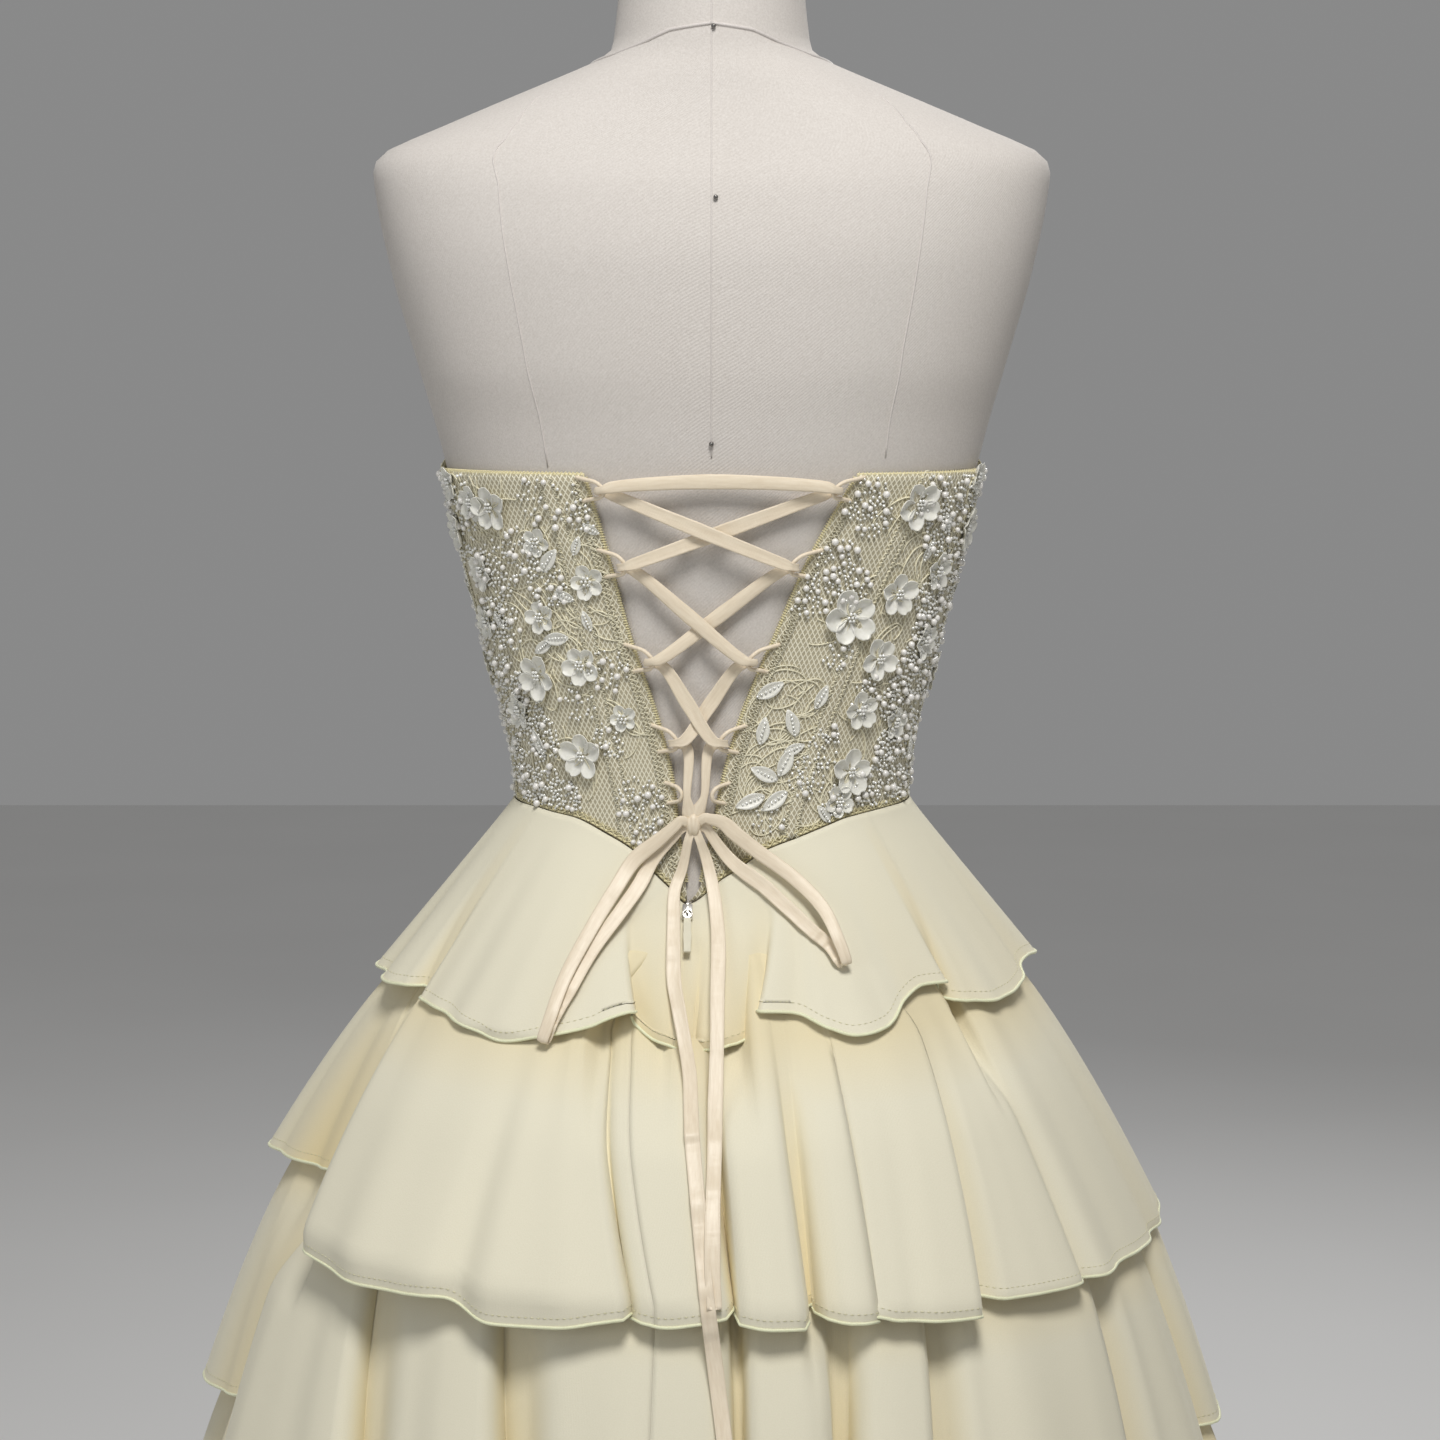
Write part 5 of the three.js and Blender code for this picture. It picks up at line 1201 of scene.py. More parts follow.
# The ribbon's turn through a loop. Columns: distance past the loop's reach, height, rise
TURN = [
    (0.004, 0.002, 0.0026), (-0.001, 0.0006, 0.0028), (-0.0047, 0, 0.0002),
    (-0.001, -0.0006, -0.0028), (0.004, -0.0024, -0.0026),
]


def turn_through(side, index):
    level, reach = LOOP_LEVELS[index], LOOP_REACHES[index]
    arc = LOOP_OUT + LOOP_RISE
    return [beside_edge(side, level + up, reach + past, arc + rise) for past, up, rise in TURN]


# Half of the lacing: through its loops, and over or under the other half between them
def strand(sides):
    route = []
    for index, side in enumerate(sides):
        turn = turn_through(side, index)
        if route:
            middle = (route[-1] + turn[0]) / 2
            height = STRAND_OVER if side == "right" else STRAND_UNDER
            route.append(body_point(body_angle(middle[0], middle[2], height), middle[2], height))
        route += turn
    return route


LACING_STEPS = 8
ABOVE_KNOT = 0.0009
LACING_RISEN = 0.008
TOP_SPAN_RISE = 0.005
TOP_SPAN_OUT = 0.007


def add_lacing():
    x, y, z = KNOT_CENTRE
    knot_top = z + KNOT_RADII[2] + ABOVE_KNOT
    from_left = strand(["left", "right", "left", "right"])
    from_right = strand(["right", "left", "right", "left"])
    top = body_point(0, LOOP_LEVELS[0] + TOP_SPAN_RISE, TOP_SPAN_OUT)
    route = [
        (x + 0.001, y, z), (x + 0.0023, y, knot_top), (x + 0.0056, y, knot_top + LACING_RISEN),
        *from_left[::-1], top, *from_right,
        (x - 0.0034, y, knot_top + LACING_RISEN), (x - 0.0023, y, knot_top), (x - 0.001, y, z),
    ]
    widths = []
    for place in route:
        distance = min(abs(place[2] - level) for level in LOOP_LEVELS)
        folded = LACING_BUNCHED if distance < BUNCHED_WITHIN else LACING_TURNED
        widths.append(folded if distance < LOOP_HALF_SPAN else LACING_WIDTH)
    piece, _, _ = add_ribbon("lacing_satin", route, LACING_STEPS, widths, SATIN, LOOP_DISH)
    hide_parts("lacing_ribbon")


# The knot's creases. Columns: place across it, lean
KNOT_CREASES = [(0.3, 0.2), (-0.35, -0.2)]
KNOT_CREASE = 0.1
KNOT_CREASE_WIDTH = 0.12


# The knot: a wrap of satin with two creases
def add_knot():
    deselect()
    bpy.ops.mesh.primitive_uv_sphere_add(segments=32, ring_count=20, radius=1)
    knot = bpy.context.object
    knot.name = "bow_knot_wrap"
    bpy.ops.object.mode_set(mode="EDIT")
    bpy.ops.mesh.select_all(action="SELECT")
    bpy.ops.transform.resize(value=KNOT_RADII)
    bpy.ops.transform.translate(value=KNOT_CENTRE)
    bpy.ops.object.mode_set(mode="OBJECT")
    for vertex in knot.data.vertices:
        local = [(vertex.co[k] - KNOT_CENTRE[k]) / KNOT_RADII[k] for k in range(3)]
        crease = 1
        for place, lean in KNOT_CREASES:
            away = (local[0] - place - lean * local[2]) / KNOT_CREASE_WIDTH
            crease -= KNOT_CREASE * math.exp(-away ** 2)
        fullness = crease * (0.9 + 0.1 * abs(local[2]) ** 2)
        vertex.co = Vector([KNOT_CENTRE[k] + local[k] * fullness * KNOT_RADII[k] for k in range(3)])
    layer = knot.data.uv_layers.active
    for loop in knot.data.loops:
        place = knot.data.vertices[loop.vertex_index].co
        layer.data[loop.index].uv = (place.x, place.z)
    knot.data.shade_smooth()
    knot.data.materials.append(SATIN)
    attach(knot, "dress")
    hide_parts("bow_knot")


add_loops()
add_lacing()
add_knot()


# The dress form: one cloth cover with sewn seams and three pins
FORM_COLUMNS = 120
FORM_STEP = 0.006
FOOT_ROUNDING = 0.975
NECK_ROUNDING = [(0.004, 0.975), (0.0055, 0.93), (0.006, 0.86)]


def add_form():
    levels = np.arange(BODY[0][0], BODY[-1][0], FORM_STEP)
    angles = np.arange(FORM_COLUMNS) * FULL_TURN / FORM_COLUMNS - FRONT
    rings = [body_point(angles, level, 0.0, FORM_BUST_SHARE) for level in levels]
    rings[0] = rings[0] * np.array([FOOT_ROUNDING, FOOT_ROUNDING, 1])
    neck = body_point(angles, BODY[-1][0], 0.0)
    rings.append(neck)
    for rise, share in NECK_ROUNDING:
        rings.append(neck * np.array([share, share, 1]) + np.array([0, 0, rise]))
    points, faces = loft(rings)
    around = np.tile(np.radians(angles) * GIRTH_RADIUS, (len(rings), 1)).reshape(-1)
    uv = np.stack([np.concatenate([around, [0, 0]]), points[:, 2]], -1)
    form = add_piece("form_cover", points, faces, TWILL, uv=uv)
    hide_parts("dress_form")


# Seams of the form, as points of angle and level
FORM_SEAMS = [
    [(0, 1.19), (0, 1.25), (0, 1.33), (0, 1.40), (0, 1.449)],
    [
        (-51, 1.381), (-40, 1.367), (-35.1, 1.3558), (-33.2, 1.333), (-33.3, 1.308),
        (-32.8, 1.266), (-32.7, 1.185),
    ],
    [
        (50, 1.3815), (40, 1.3665), (35, 1.354), (33.8, 1.33), (33.8, 1.298),
        (33.7, 1.246), (35.1, 1.19),
    ],
    [(143, 1.385), (145, 1.33), (143, 1.28), (141, 1.23)],
    [(217, 1.385), (215, 1.33), (217, 1.28), (219, 1.23)],
    [(180, 1.19), (180, 1.30), (180, 1.40), (180, 1.449)],
]
NECK_SEAM = [
    (0, 1.4174), (24, 1.4145), (42, 1.4085), (60, 1.404), (90, 1.4015), (140, 1.397), (180, 1.395),
]
FORM_SEAM_RADIUS = 0.00045
NECK_SEAM_RADIUS = 0.0011


def surface_line(stations, count, out, bust_share=FORM_BUST_SHARE):
    stations = np.array(stations, float)
    share = np.linspace(0, 1, count)
    marks = np.linspace(0, 1, len(stations))
    angles = np.interp(share, marks, stations[:, 0])
    levels = np.interp(share, marks, stations[:, 1])
    points = body_point(angles, levels, out, bust_share)
    _, frames = body_frames(angles, levels, out)
    return points, frames[:, 2]


def add_form_seams():
    parts = []
    for stations in FORM_SEAMS:
        points, outward = surface_line(stations, 60, 0.0)
        parts.append(thread(points, outward, FORM_SEAM_RADIUS))
    ring = NECK_SEAM + [(FULL_TURN - angle, level) for angle, level in NECK_SEAM[-2::-1]]
    points, outward = surface_line(ring, 120, 0.0)
    parts.append(thread(points, outward, NECK_SEAM_RADIUS))
    add_piece("form_seams", *joined(parts), SEAM_THREAD)


PIN_HEAD = 0.0013
PIN_PROUD = 0.0014
PIN_SHAFT = 0.0004
PIN_LENGTH = 0.004
PIN_SUNK = 0.0006


# Pins down the centre back, each a round head on its shaft
def add_pins():
    for index, (angle, level) in enumerate(PINS):
        place, frames = body_frames(np.array([float(angle)]), np.array([level]), 0.0)
        deselect()
        bpy.ops.mesh.primitive_uv_sphere_add(segments=20, ring_count=12, radius=PIN_HEAD)
        pin = bpy.context.object
        pin.name = f"form_pin_{index + 1}"
        bpy.ops.object.mode_set(mode="EDIT")
        bpy.ops.mesh.select_all(action="SELECT")
        bpy.ops.transform.translate(value=tuple(place[0] + frames[0, 2] * PIN_PROUD))
        bpy.ops.mesh.select_all(action="DESELECT")
        bpy.ops.mesh.primitive_cylinder_add(
            vertices=12, radius=PIN_SHAFT, depth=PIN_LENGTH, rotation=(math.radians(90), 0, 0),
            location=tuple(place[0] - frames[0, 2] * PIN_SUNK),
        )
        bpy.ops.object.mode_set(mode="OBJECT")
        pin.data.shade_smooth()
        pin.data.materials.append(PIN_STEEL)
        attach(pin, "dress")


PLATE_HEIGHT = 0.012
SOCKET_FOOT = 0.021


# The stand: a turned base with its socket, and a round pole
def add_stand():
    low, high = (Vector(corner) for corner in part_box("stand_base"))
    deselect()
    bpy.ops.mesh.primitive_cylinder_add(
        vertices=96, radius=(high.x - low.x) / 2, depth=PLATE_HEIGHT,
        location=(0, 0, PLATE_HEIGHT / 2),
    )
    base = bpy.context.object
    base.name = "stand_base_turned"
    bpy.ops.object.mode_set(mode="EDIT")
    bpy.ops.mesh.select_all(action="DESELECT")
    bpy.ops.object.mode_set(mode="OBJECT")
    for face in base.data.polygons:
        face.select = face.normal.z > 0.9
    bpy.ops.object.mode_set(mode="EDIT")
    # Each step of the turning: how far it rises, and its width as a share of the one below
    turning = [
        (0.004, 0.978), (0, 0.16), (0.004, 0.86), (high.z - low.z - SOCKET_FOOT, 1), (0.001, 0.95),
    ]
    for rise, share in turning:
        bpy.ops.mesh.extrude_region_move(TRANSFORM_OT_translate={"value": (0, 0, rise)})
        bpy.ops.transform.resize(value=(share, share, 1), center_override=(0, 0, 0))
    bpy.ops.object.mode_set(mode="OBJECT")
    finish_hard(base, "stand_base", STEEL, 0.0012)
    low, high = (Vector(corner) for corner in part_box("stand_pole"))
    deselect()
    bpy.ops.mesh.primitive_cylinder_add(
        vertices=64, radius=(high.x - low.x) / 2, depth=high.z - low.z,
        location=(0, 0, (high.z + low.z) / 2),
    )
    pole = bpy.context.object
    pole.name = "stand_pole_turned"
    finish_hard(pole, "stand_pole", STEEL, 0.0008)


# A rounded edge, its place in the mesh, a material, and the node that it stands for
def finish_hard(piece, replaced, material, edge, body="dress"):
    bpy.context.view_layer.objects.active = piece
    piece.select_set(True)
    bpy.ops.object.transform_apply(location=True, rotation=True, scale=True)
    bevel = piece.modifiers.new("edge", "BEVEL")
    bevel.width = edge
    bevel.segments = 2
    bevel.limit_method = "ANGLE"
    bpy.ops.object.modifier_apply(modifier="edge")
    bpy.ops.object.shade_smooth_by_angle(angle=math.radians(35))
    piece.data.materials.clear()
    piece.data.materials.append(material)
    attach(piece, body)
    if replaced:
        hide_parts(replaced)


add_form()
add_form_seams()
add_pins()
add_stand()


DEEPEST_FOLD = 0.024
HEM_SHADOW_REACH = 0.03
HEM_SHADOW = 0.55


# Painted shade on the cloth: warm in its troughs, and a painted shadow just below the hem above
def tier_shade(index, angles, levels):
    tier = TIERS[index]
    depth = -eased(tier["folds"], wrapped(angles, -SIDE)) / DEEPEST_FOLD
    top = tier_top(tier, angles)
    share = np.clip((top - levels) / (top - tier_hem(tier, angles)), 0, 1)
    shade = np.clip(depth, 0, 1) * share
    if index > 0:
        below = tier_hem(TIERS[index - 1], angles) - levels
        shade = np.maximum(shade, np.clip(1 - below / HEM_SHADOW_REACH, 0, 1) * HEM_SHADOW)
    return shade


# Each tier's cut pieces, back left, back right and front. Columns: width, height, area
TIER_SECTIONS = [
    ("back_left", -SIDE, CENTRE_BACK),
    ("back_right", CENTRE_BACK, SIDE),
    ("front", SIDE, FULL_TURN - SIDE),
]
CUT_PIECES = {
    "tier_1": [(0.3, 0.15, 0.024), (0.33, 0.16, 0.026), (0.56, 0.14, 0.044)],
    "tier_2": [(0.46, 0.2, 0.058), (0.6, 0.21, 0.083), (0.82, 0.24, 0.124)],
    "tier_3": [(0.52, 0.24, 0.09), (0.64, 0.25, 0.114), (0.95, 0.27, 0.181)],
    "tier_4": [(0.54, 0.25, 0.101), (0.66, 0.26, 0.119), (1.0, 0.29, 0.203)],
}


def add_tier(index):
    tier = TIERS[index]
    grid = TIER_GRIDS[index]
    outward = grid_outward(grid)
    levels = tier_rows(index, COLUMNS)
    shade = tier_shade(index, np.broadcast_to(COLUMNS, levels.shape), levels)
    thickness = np.full(levels.shape[0], CHIFFON)
    thickness[STITCH_ROW + 1:] = HEM_THICKNESS
    inner = grid - outward * thickness[:, None, None]
    uv = np.stack([np.broadcast_to(arc_length(grid[-1]), levels.shape), levels], -1)
    for (section, start, end), cut in zip(TIER_SECTIONS, CUT_PIECES[tier["name"]]):
        keep = (COLUMNS >= start - 0.01) & (COLUMNS <= end + 0.01)
        outer, lining = grid[:, keep], inner[:, keep]
        points, faces = wall(outer, lining)
        name = f"{tier['name']}_{section}"
        piece = add_piece(
            name + "_flounce", points, faces, CHIFFON_CLOTH,
            uv=np.tile(uv[:, keep].reshape(-1, 2), (2, 1)), shade=np.tile(shade[:, keep].ravel(), 2),
        )
        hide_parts(name)
    add_hem_stitches(tier["name"], grid, outward)


STITCH_PITCH = 0.0034
STITCH_LENGTH = 0.0024
STITCH_RADIUS = 0.00028
STITCH_PROUD = 0.0001
STITCH_LOOK = 0.0005
STITCH_ROW = -4
HEM_CORD_RADIUS = 0.0009


# Straight stitches round a hem, each a short flat lozenge, and the hem's rolled edge
def add_hem_stitches(name, grid, outward):
    line = grid[STITCH_ROW] + outward[STITCH_ROW] * STITCH_PROUD
    length = arc_length(line)
    marks = np.arange(STITCH_PITCH, length[-1], STITCH_PITCH)
    places = read_along(line, length, marks)
    ahead = read_along(line, length, marks + STITCH_LOOK)
    behind = read_along(line, length, marks - STITCH_LOOK)
    along = unit(ahead - behind)
    out = unit(read_along(outward[STITCH_ROW], length, marks))
    frames = np.stack([along, unit(np.cross(out, along)), out], 1)
    half, thick = STITCH_LENGTH / 2, STITCH_RADIUS
    points = np.array([
        (-half, 0, 0), (0, thick, 0), (0, 0, thick), (0, -thick, 0), (0, 0, -thick), (half, 0, 0),
    ])
    faces = [(0, 2, 1), (0, 3, 2), (0, 4, 3), (0, 1, 4), (5, 1, 2), (5, 2, 3), (5, 3, 4), (5, 4, 1)]
    stitched = planted((points, faces), places, frames, 1.0)
    add_piece(name + "_hem_stitching", *stitched, HEM_THREAD)
    rolled = thread(grid[-1], outward[-1], HEM_CORD_RADIUS)
    add_piece(name + "_hem_cord", *rolled, HEM_CORD)


UNDERSKIRT_STEP = 3.0
UNDERSKIRT_ROWS = 40
UNDERSKIRT_CLOTH = 0.0009
UNDERSKIRT_SPAN = 0.2
UNDERSKIRT_SHADE = 0.5


def add_underskirt():
    angles = np.arange(-SIDE, FULL_TURN - SIDE, UNDERSKIRT_STEP)
    top = waist_level(angles) - UNDERSKIRT_DROP
    shares = np.linspace(0, 1, UNDERSKIRT_ROWS)
    levels = np.array([top + (UNDERSKIRT[0][0] - top) * share for share in shares])
    columns = np.broadcast_to(angles, levels.shape)
    half_width, half_depth = underskirt_at(levels)
    turn = np.radians(columns)
    grid = np.stack([half_width * np.sin(turn), -half_depth * np.cos(turn), levels], -1)
    inner = grid - unit(grid * LEVEL_ONLY) * UNDERSKIRT_CLOTH
    points, faces = wall(grid, inner, ring=True)
    uv = np.tile(np.stack([turn * UNDERSKIRT_SPAN, levels], -1).reshape(-1, 2), (2, 1))
    # Painted shade: the whole underskirt is given half of the chiffon's warm shade
    shade = np.full(len(points), UNDERSKIRT_SHADE)
    piece = add_piece("underskirt_lining", points, faces, CHIFFON_CLOTH, uv=uv, shade=shade)
    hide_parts("underskirt")


add_underskirt()
for tier_index in range(len(TIERS)):
    add_tier(tier_index)


# Bodice
def panel_angles(start, end, laced, share):
    waist = np.linspace(start, end, int(round((end - start) / PANEL_STEP)) + 1)
    if not laced:
        return waist, waist
    seam = start if laced == "left" else end
    level = BACK_OPENING[0][0] + (BACK_OPENING[-1][0] - BACK_OPENING[0][0]) * share
    edge = body_angle(laced_edge(laced, level), level, SHELL)
    return waist, seam + (edge - seam) * (waist - seam) / (CENTRE_BACK - seam)


UNROLLED_FROM = -100


# How far round the bodice an angle lies, as a distance on the cloth
def on_cloth(angle):
    return np.radians(wrapped(angle, UNROLLED_FROM)) * GIRTH_RADIUS


# How far a point lies from a line of stations, as a distance on the cloth
def distance_from_line(angles, levels, stations):
    across = on_cloth(angles)
    nearest = np.full(np.shape(angles), 1.0)
    for (a0, z0), (a1, z1) in zip(stations, stations[1:]):
        x0, x1 = on_cloth(a0), on_cloth(a1)
        along = (across - x0) * (x1 - x0) + (levels - z0) * (z1 - z0)
        along = np.clip(along / ((x1 - x0) ** 2 + (z1 - z0) ** 2), 0, 1)
        gap = np.hypot(across - x0 - along * (x1 - x0), levels - z0 - along * (z1 - z0))
        nearest = np.minimum(nearest, gap)
    return nearest


def bodice_relief(angles, levels):
    relief = np.zeros(np.shape(angles))
    for stations in CHANNELS:
        gap = distance_from_line(angles, levels, stations)
        height = np.clip((CHANNEL_HALF_WIDTH - gap) / CHANNEL_FLANK, 0, 1)
        relief = np.maximum(relief, CHANNEL_RISE * height)
    return relief


def panel_grid(start, end, laced, out):
    rows = []
    for share in np.linspace(1, 0, PANEL_ROWS):
        waist, angles = panel_angles(start, end, laced, share)
        low = waist_level(waist)
        levels = low + (top_level(angles) - low) * share
        rows.append(body_point(angles, levels, out + bodice_relief(angles, levels)))
    return np.array(rows)


def add_panel(name, start, end, laced):
    outer = panel_grid(start, end, laced, SHELL - NET_SUNK)
    inner = outer - grid_outward(outer) * PANEL_WALL
    points, faces = wall(outer, inner)
    across = np.cumsum(np.linalg.norm(np.diff(outer, axis=1, prepend=outer[:, :1]), axis=2), axis=1)
    if laced == "right":
        across = across - across[:, -1:]
    uv = np.tile(np.stack([across, outer[..., 2]], -1).reshape(-1, 2), (2, 1))
    piece = add_piece(name + "_net", points, faces, NET, uv=uv)
    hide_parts(name)


for panel in PANELS:
    add_panel(*panel)


# One petal, modelled from a grid: nearly round, narrow at its foot, cupped and lifted at its tip
def petal_shape():
    deselect()
    bpy.ops.mesh.primitive_grid_add(x_subdivisions=6, y_subdivisions=7, size=2)
    petal = bpy.context.object
    for vertex in petal.data.vertices:
        across = math.sin(vertex.co.x * math.pi / 2)
        along = 0.5 - 0.5 * math.cos((vertex.co.y + 1) / 2 * math.pi)
        roundness = 1 - ((along - 0.56) / 0.46) ** 2
        half = max(0.07, 0.42 * math.sqrt(max(0, roundness)))
        crease = 0.09 * (1 - abs(across)) ** 2 * (1 - 0.4 * along)
        height = 0.06 + 0.20 * along ** 2 + 0.16 * across ** 2 * half * 2 - crease
        vertex.co = Vector((across * half, 0.10 + 0.90 * along, height))
    thicken(petal, 0.03)
    return shape_of(petal)


# One leaf: a pointed oval with a folded midrib
def leaf_shape():
    deselect()
    bpy.ops.mesh.primitive_grid_add(x_subdivisions=6, y_subdivisions=8, size=2)
    leaf = bpy.context.object
    for vertex in leaf.data.vertices:
        across, along = vertex.co.x, (vertex.co.y + 1) / 2
        half = 0.24 * math.sin(math.pi * (0.03 + 0.94 * along)) ** 0.8 * (1.1 - 0.25 * along)
        height = 0.05 + 0.10 * abs(across) ** 1.5 * half * 4 + 0.05 * along ** 2
        vertex.co = Vector((across * half, along - 0.5, height))
    thicken(leaf, 0.022)
    return shape_of(leaf)


def thicken(piece, thickness):
    solidify = piece.modifiers.new("thickness", "SOLIDIFY")
    solidify.thickness = thickness
    solidify.offset = -1
    bpy.ops.object.modifier_apply(modifier="thickness")


def bead_shape(segments, rings):
    deselect()
    bpy.ops.mesh.primitive_uv_sphere_add(segments=segments, ring_count=rings, radius=0.5)
    return shape_of(bpy.context.object)


PETAL = petal_shape()
LEAF = leaf_shape()
SEED = bead_shape(5, 4)
ROUND_PEARL = bead_shape(8, 6)
CHAOS = random.Random(31)


# The bodice's pieces of applique, gathered by panel
def panel_of(angle):
    turned_angle = float(wrapped(angle, PANELS[0][1]))
    for name, start, end, _ in PANELS:
        if start <= turned_angle < end:
            return name
    return PANELS[0][0]


def inside_bodice(angle, level, margin=0.003):
    if level > float(top_level(angle)) - margin or level < float(waist_level(angle)) + margin:
        return False
    turned_angle = float(wrapped(angle, -FRONT))
    if abs(turned_angle) < PANELS[1][2]:
        side = "left" if turned_angle < 0 else "right"
        edge = float(laced_edge(side, level))
        x = float(body_point(turned_angle, level, SHELL)[0])
        if (side == "left" and x > edge - margin) or (side == "right" and x < edge + margin):
            return False
    return True


PETALS = 5


def add_flowers():
    places, frames, turns, sizes, angles = [], [], [], [], []
    for angle, level, radius, turn in FLOWERS + SMALL_FLOWERS:
        place, directions = body_frames(np.array([float(angle)]), np.array([level]), SHELL - 0.0004)
        for petal in range(PETALS):
            places.append(place[0])
            frames.append(directions[0])
            turns.append(turn + petal * FULL_TURN / PETALS + CHAOS.uniform(-6, 6))
            sizes.append(radius * CHAOS.uniform(0.93, 1.06))
            angles.append(angle)
    frames = turned_frames(np.array(frames), turns)
    planted_by_panel("petals", PETAL, places, frames, sizes, angles, ORGANZA)


def add_leaves():
    rows = LEAVES + SMALL_LEAVES
    angles = np.array([row[0] for row in rows], float)
    places, frames = body_frames(angles, np.array([row[1] for row in rows]), SHELL - 0.0002)
    frames = turned_frames(frames, [row[3] for row in rows])
    planted_by_panel("leaves", LEAF, places, frames, [row[2] for row in rows], angles, ORGANZA)


def planted_by_panel(kind, shape, places, frames, sizes, angles, material):
    places, frames, sizes = np.array(places), np.array(frames), np.array(sizes, float)
    names = [panel_of(angle) for angle in angles]
    for panel_name in sorted(set(names)):
        chosen = [i for i, name in enumerate(names) if name == panel_name]
        points, faces = planted(shape, places[chosen], frames[chosen], sizes[chosen])
        add_piece(f"{panel_name}_{kind}", points, faces, material)


TENDRIL_STEP = 0.0015
TENDRIL_MARGIN = 0.0012


# Corded tendrils that leave the flowers and leaves in curls
def tendril(angle, level, heading, length, curl):
    angles, levels = [angle], [level]
    for index in range(int(length / TENDRIL_STEP)):
        heading += curl * TENDRIL_STEP * (1 + 0.6 * math.sin(index * 0.35))
        angle += math.degrees(TENDRIL_STEP * math.cos(heading) / GIRTH_RADIUS)
        level += TENDRIL_STEP * math.sin(heading)
        if not inside_bodice(angle, level, TENDRIL_MARGIN):
            break
        angles.append(angle)
        levels.append(level)
    return np.array(angles), np.array(levels)


TENDRILS_EACH = 6
TENDRIL_RADIUS = 0.0005
SHORTEST_TENDRIL = 6


def add_tendrils():
    by_panel = {}
    starts = [(row[0], row[1]) for row in FLOWERS + SMALL_FLOWERS + LEAVES + SMALL_LEAVES]
    for angle, level in starts:
        for index in range(TENDRILS_EACH):
            heading = math.radians(index * FULL_TURN / TENDRILS_EACH + CHAOS.uniform(-25, 25))
            curl = CHAOS.choice([-1, 1]) * CHAOS.uniform(30, 120)
            angles, levels = tendril(angle, level, heading, CHAOS.uniform(0.018, 0.042), curl)
            if len(angles) < SHORTEST_TENDRIL:
                continue
            points, frames = body_frames(angles, levels, SHELL + 0.0002)
            taper = np.linspace(1, 0.7, len(points)) * TENDRIL_RADIUS
            by_panel.setdefault(panel_of(angle), []).append(thread(points, frames[:, 2], taper, 5))
    for name, parts in by_panel.items():
        add_piece(name + "_cording", *joined(parts), CORDING)


PEARL_SIZES = (0.0030, 0.0042)
SEED_SIZES = (0.0016, 0.0022)
BEAD_TRIES = 12
CELL = 0.005
CLOSEST = 0.47


# Pearls and seed beads, each kept clear of those already sewn on
class Sewn:
    def __init__(self):
        self.cells = {}

    def clear(self, x, z, size):
        row, column = int(x / CELL), int(z / CELL)
        for i in range(row - 1, row + 2):
            for j in range(column - 1, column + 2):
                for other_x, other_z, other in self.cells.get((i, j), ()):
                    if math.hypot(x - other_x, z - other_z) < (size + other) * CLOSEST:
                        return False
        self.cells.setdefault((row, column), []).append((x, z, size))
        return True


SEWN = Sewn()


def bead_places(fields):
    pearls, seeds = [], []
    for angle, level, radius, pearl_count, seed_count in fields:
        kinds = ((pearl_count, PEARL_SIZES, pearls), (seed_count, SEED_SIZES, seeds))
        for count, sizes, chosen in kinds:
            placed = 0
            for _ in range(count * BEAD_TRIES):
                if placed >= count:
                    break
                reach = radius * math.sqrt(CHAOS.random())
                turn = CHAOS.uniform(0, 2 * math.pi)
                at_angle = angle + math.degrees(reach * math.cos(turn) / GIRTH_RADIUS)
                at_level = level + reach * math.sin(turn)
                size = CHAOS.uniform(*sizes)
                x = float(on_cloth(at_angle))
                if inside_bodice(at_angle, at_level, 0.0015) and SEWN.clear(x, at_level, size):
                    chosen.append((at_angle, at_level, size))
                    placed += 1
    return pearls, seeds


HIDDEN_COLUMNS = {"count": 21, "start": 64, "step": 11.6}
HIDDEN_ROWS_OF_BEADS = {"count": 7, "start": 1.008, "step": 0.031, "stagger": 0.014}
HIDDEN_KEPT = 0.86


# Fields of beads in staggered rows over the sides and the front
def hidden_fields():
    radius, pearls, seeds = HIDDEN_FIELD
    columns, rows = HIDDEN_COLUMNS, HIDDEN_ROWS_OF_BEADS
    fields = []
    for column in range(columns["count"]):
        angle = columns["start"] + column * columns["step"]
        for row in range(rows["count"]):
            level = rows["start"] + row * rows["step"] + (rows["stagger"] if column % 2 else 0)
            if CHAOS.random() < HIDDEN_KEPT:
                fields.append((angle + CHAOS.uniform(-2, 2), level, radius, pearls, seeds))
    return fields


CENTRE_RING = 6
CENTRE_REACH = 0.0021
CENTRE_SIZE = 0.002
CENTRE_PROUD = 0.0021
RIB_BEADS = 6
RIB_START = 0.62
RIB_SHARE = 0.72
RIB_SIZE = 0.0017
RIB_PROUD = 0.0012


# The beads in the middle of each flower and along the midrib of each leaf
def centre_beads():
    seeds = []
    for angle, level, radius, _ in FLOWERS + SMALL_FLOWERS:
        for index in range(CENTRE_RING + 1):
            turn = index * math.tau / CENTRE_RING if index else 0
            reach = CENTRE_REACH if index else 0
            seeds.append((
                angle + math.degrees(reach * math.cos(turn) / GIRTH_RADIUS),
                level + reach * math.sin(turn), CENTRE_SIZE, CENTRE_PROUD,
            ))
    for angle, level, length, turn in LEAVES + SMALL_LEAVES:
        lean = math.radians(turn)
        for index in range(RIB_BEADS):
            along = (index / (RIB_BEADS - 1) - RIB_START) * length * RIB_SHARE
            seeds.append((
                angle + math.degrees(-along * math.sin(lean) / GIRTH_RADIUS),
                level + along * math.cos(lean), RIB_SIZE, RIB_PROUD,
            ))
    return seeds


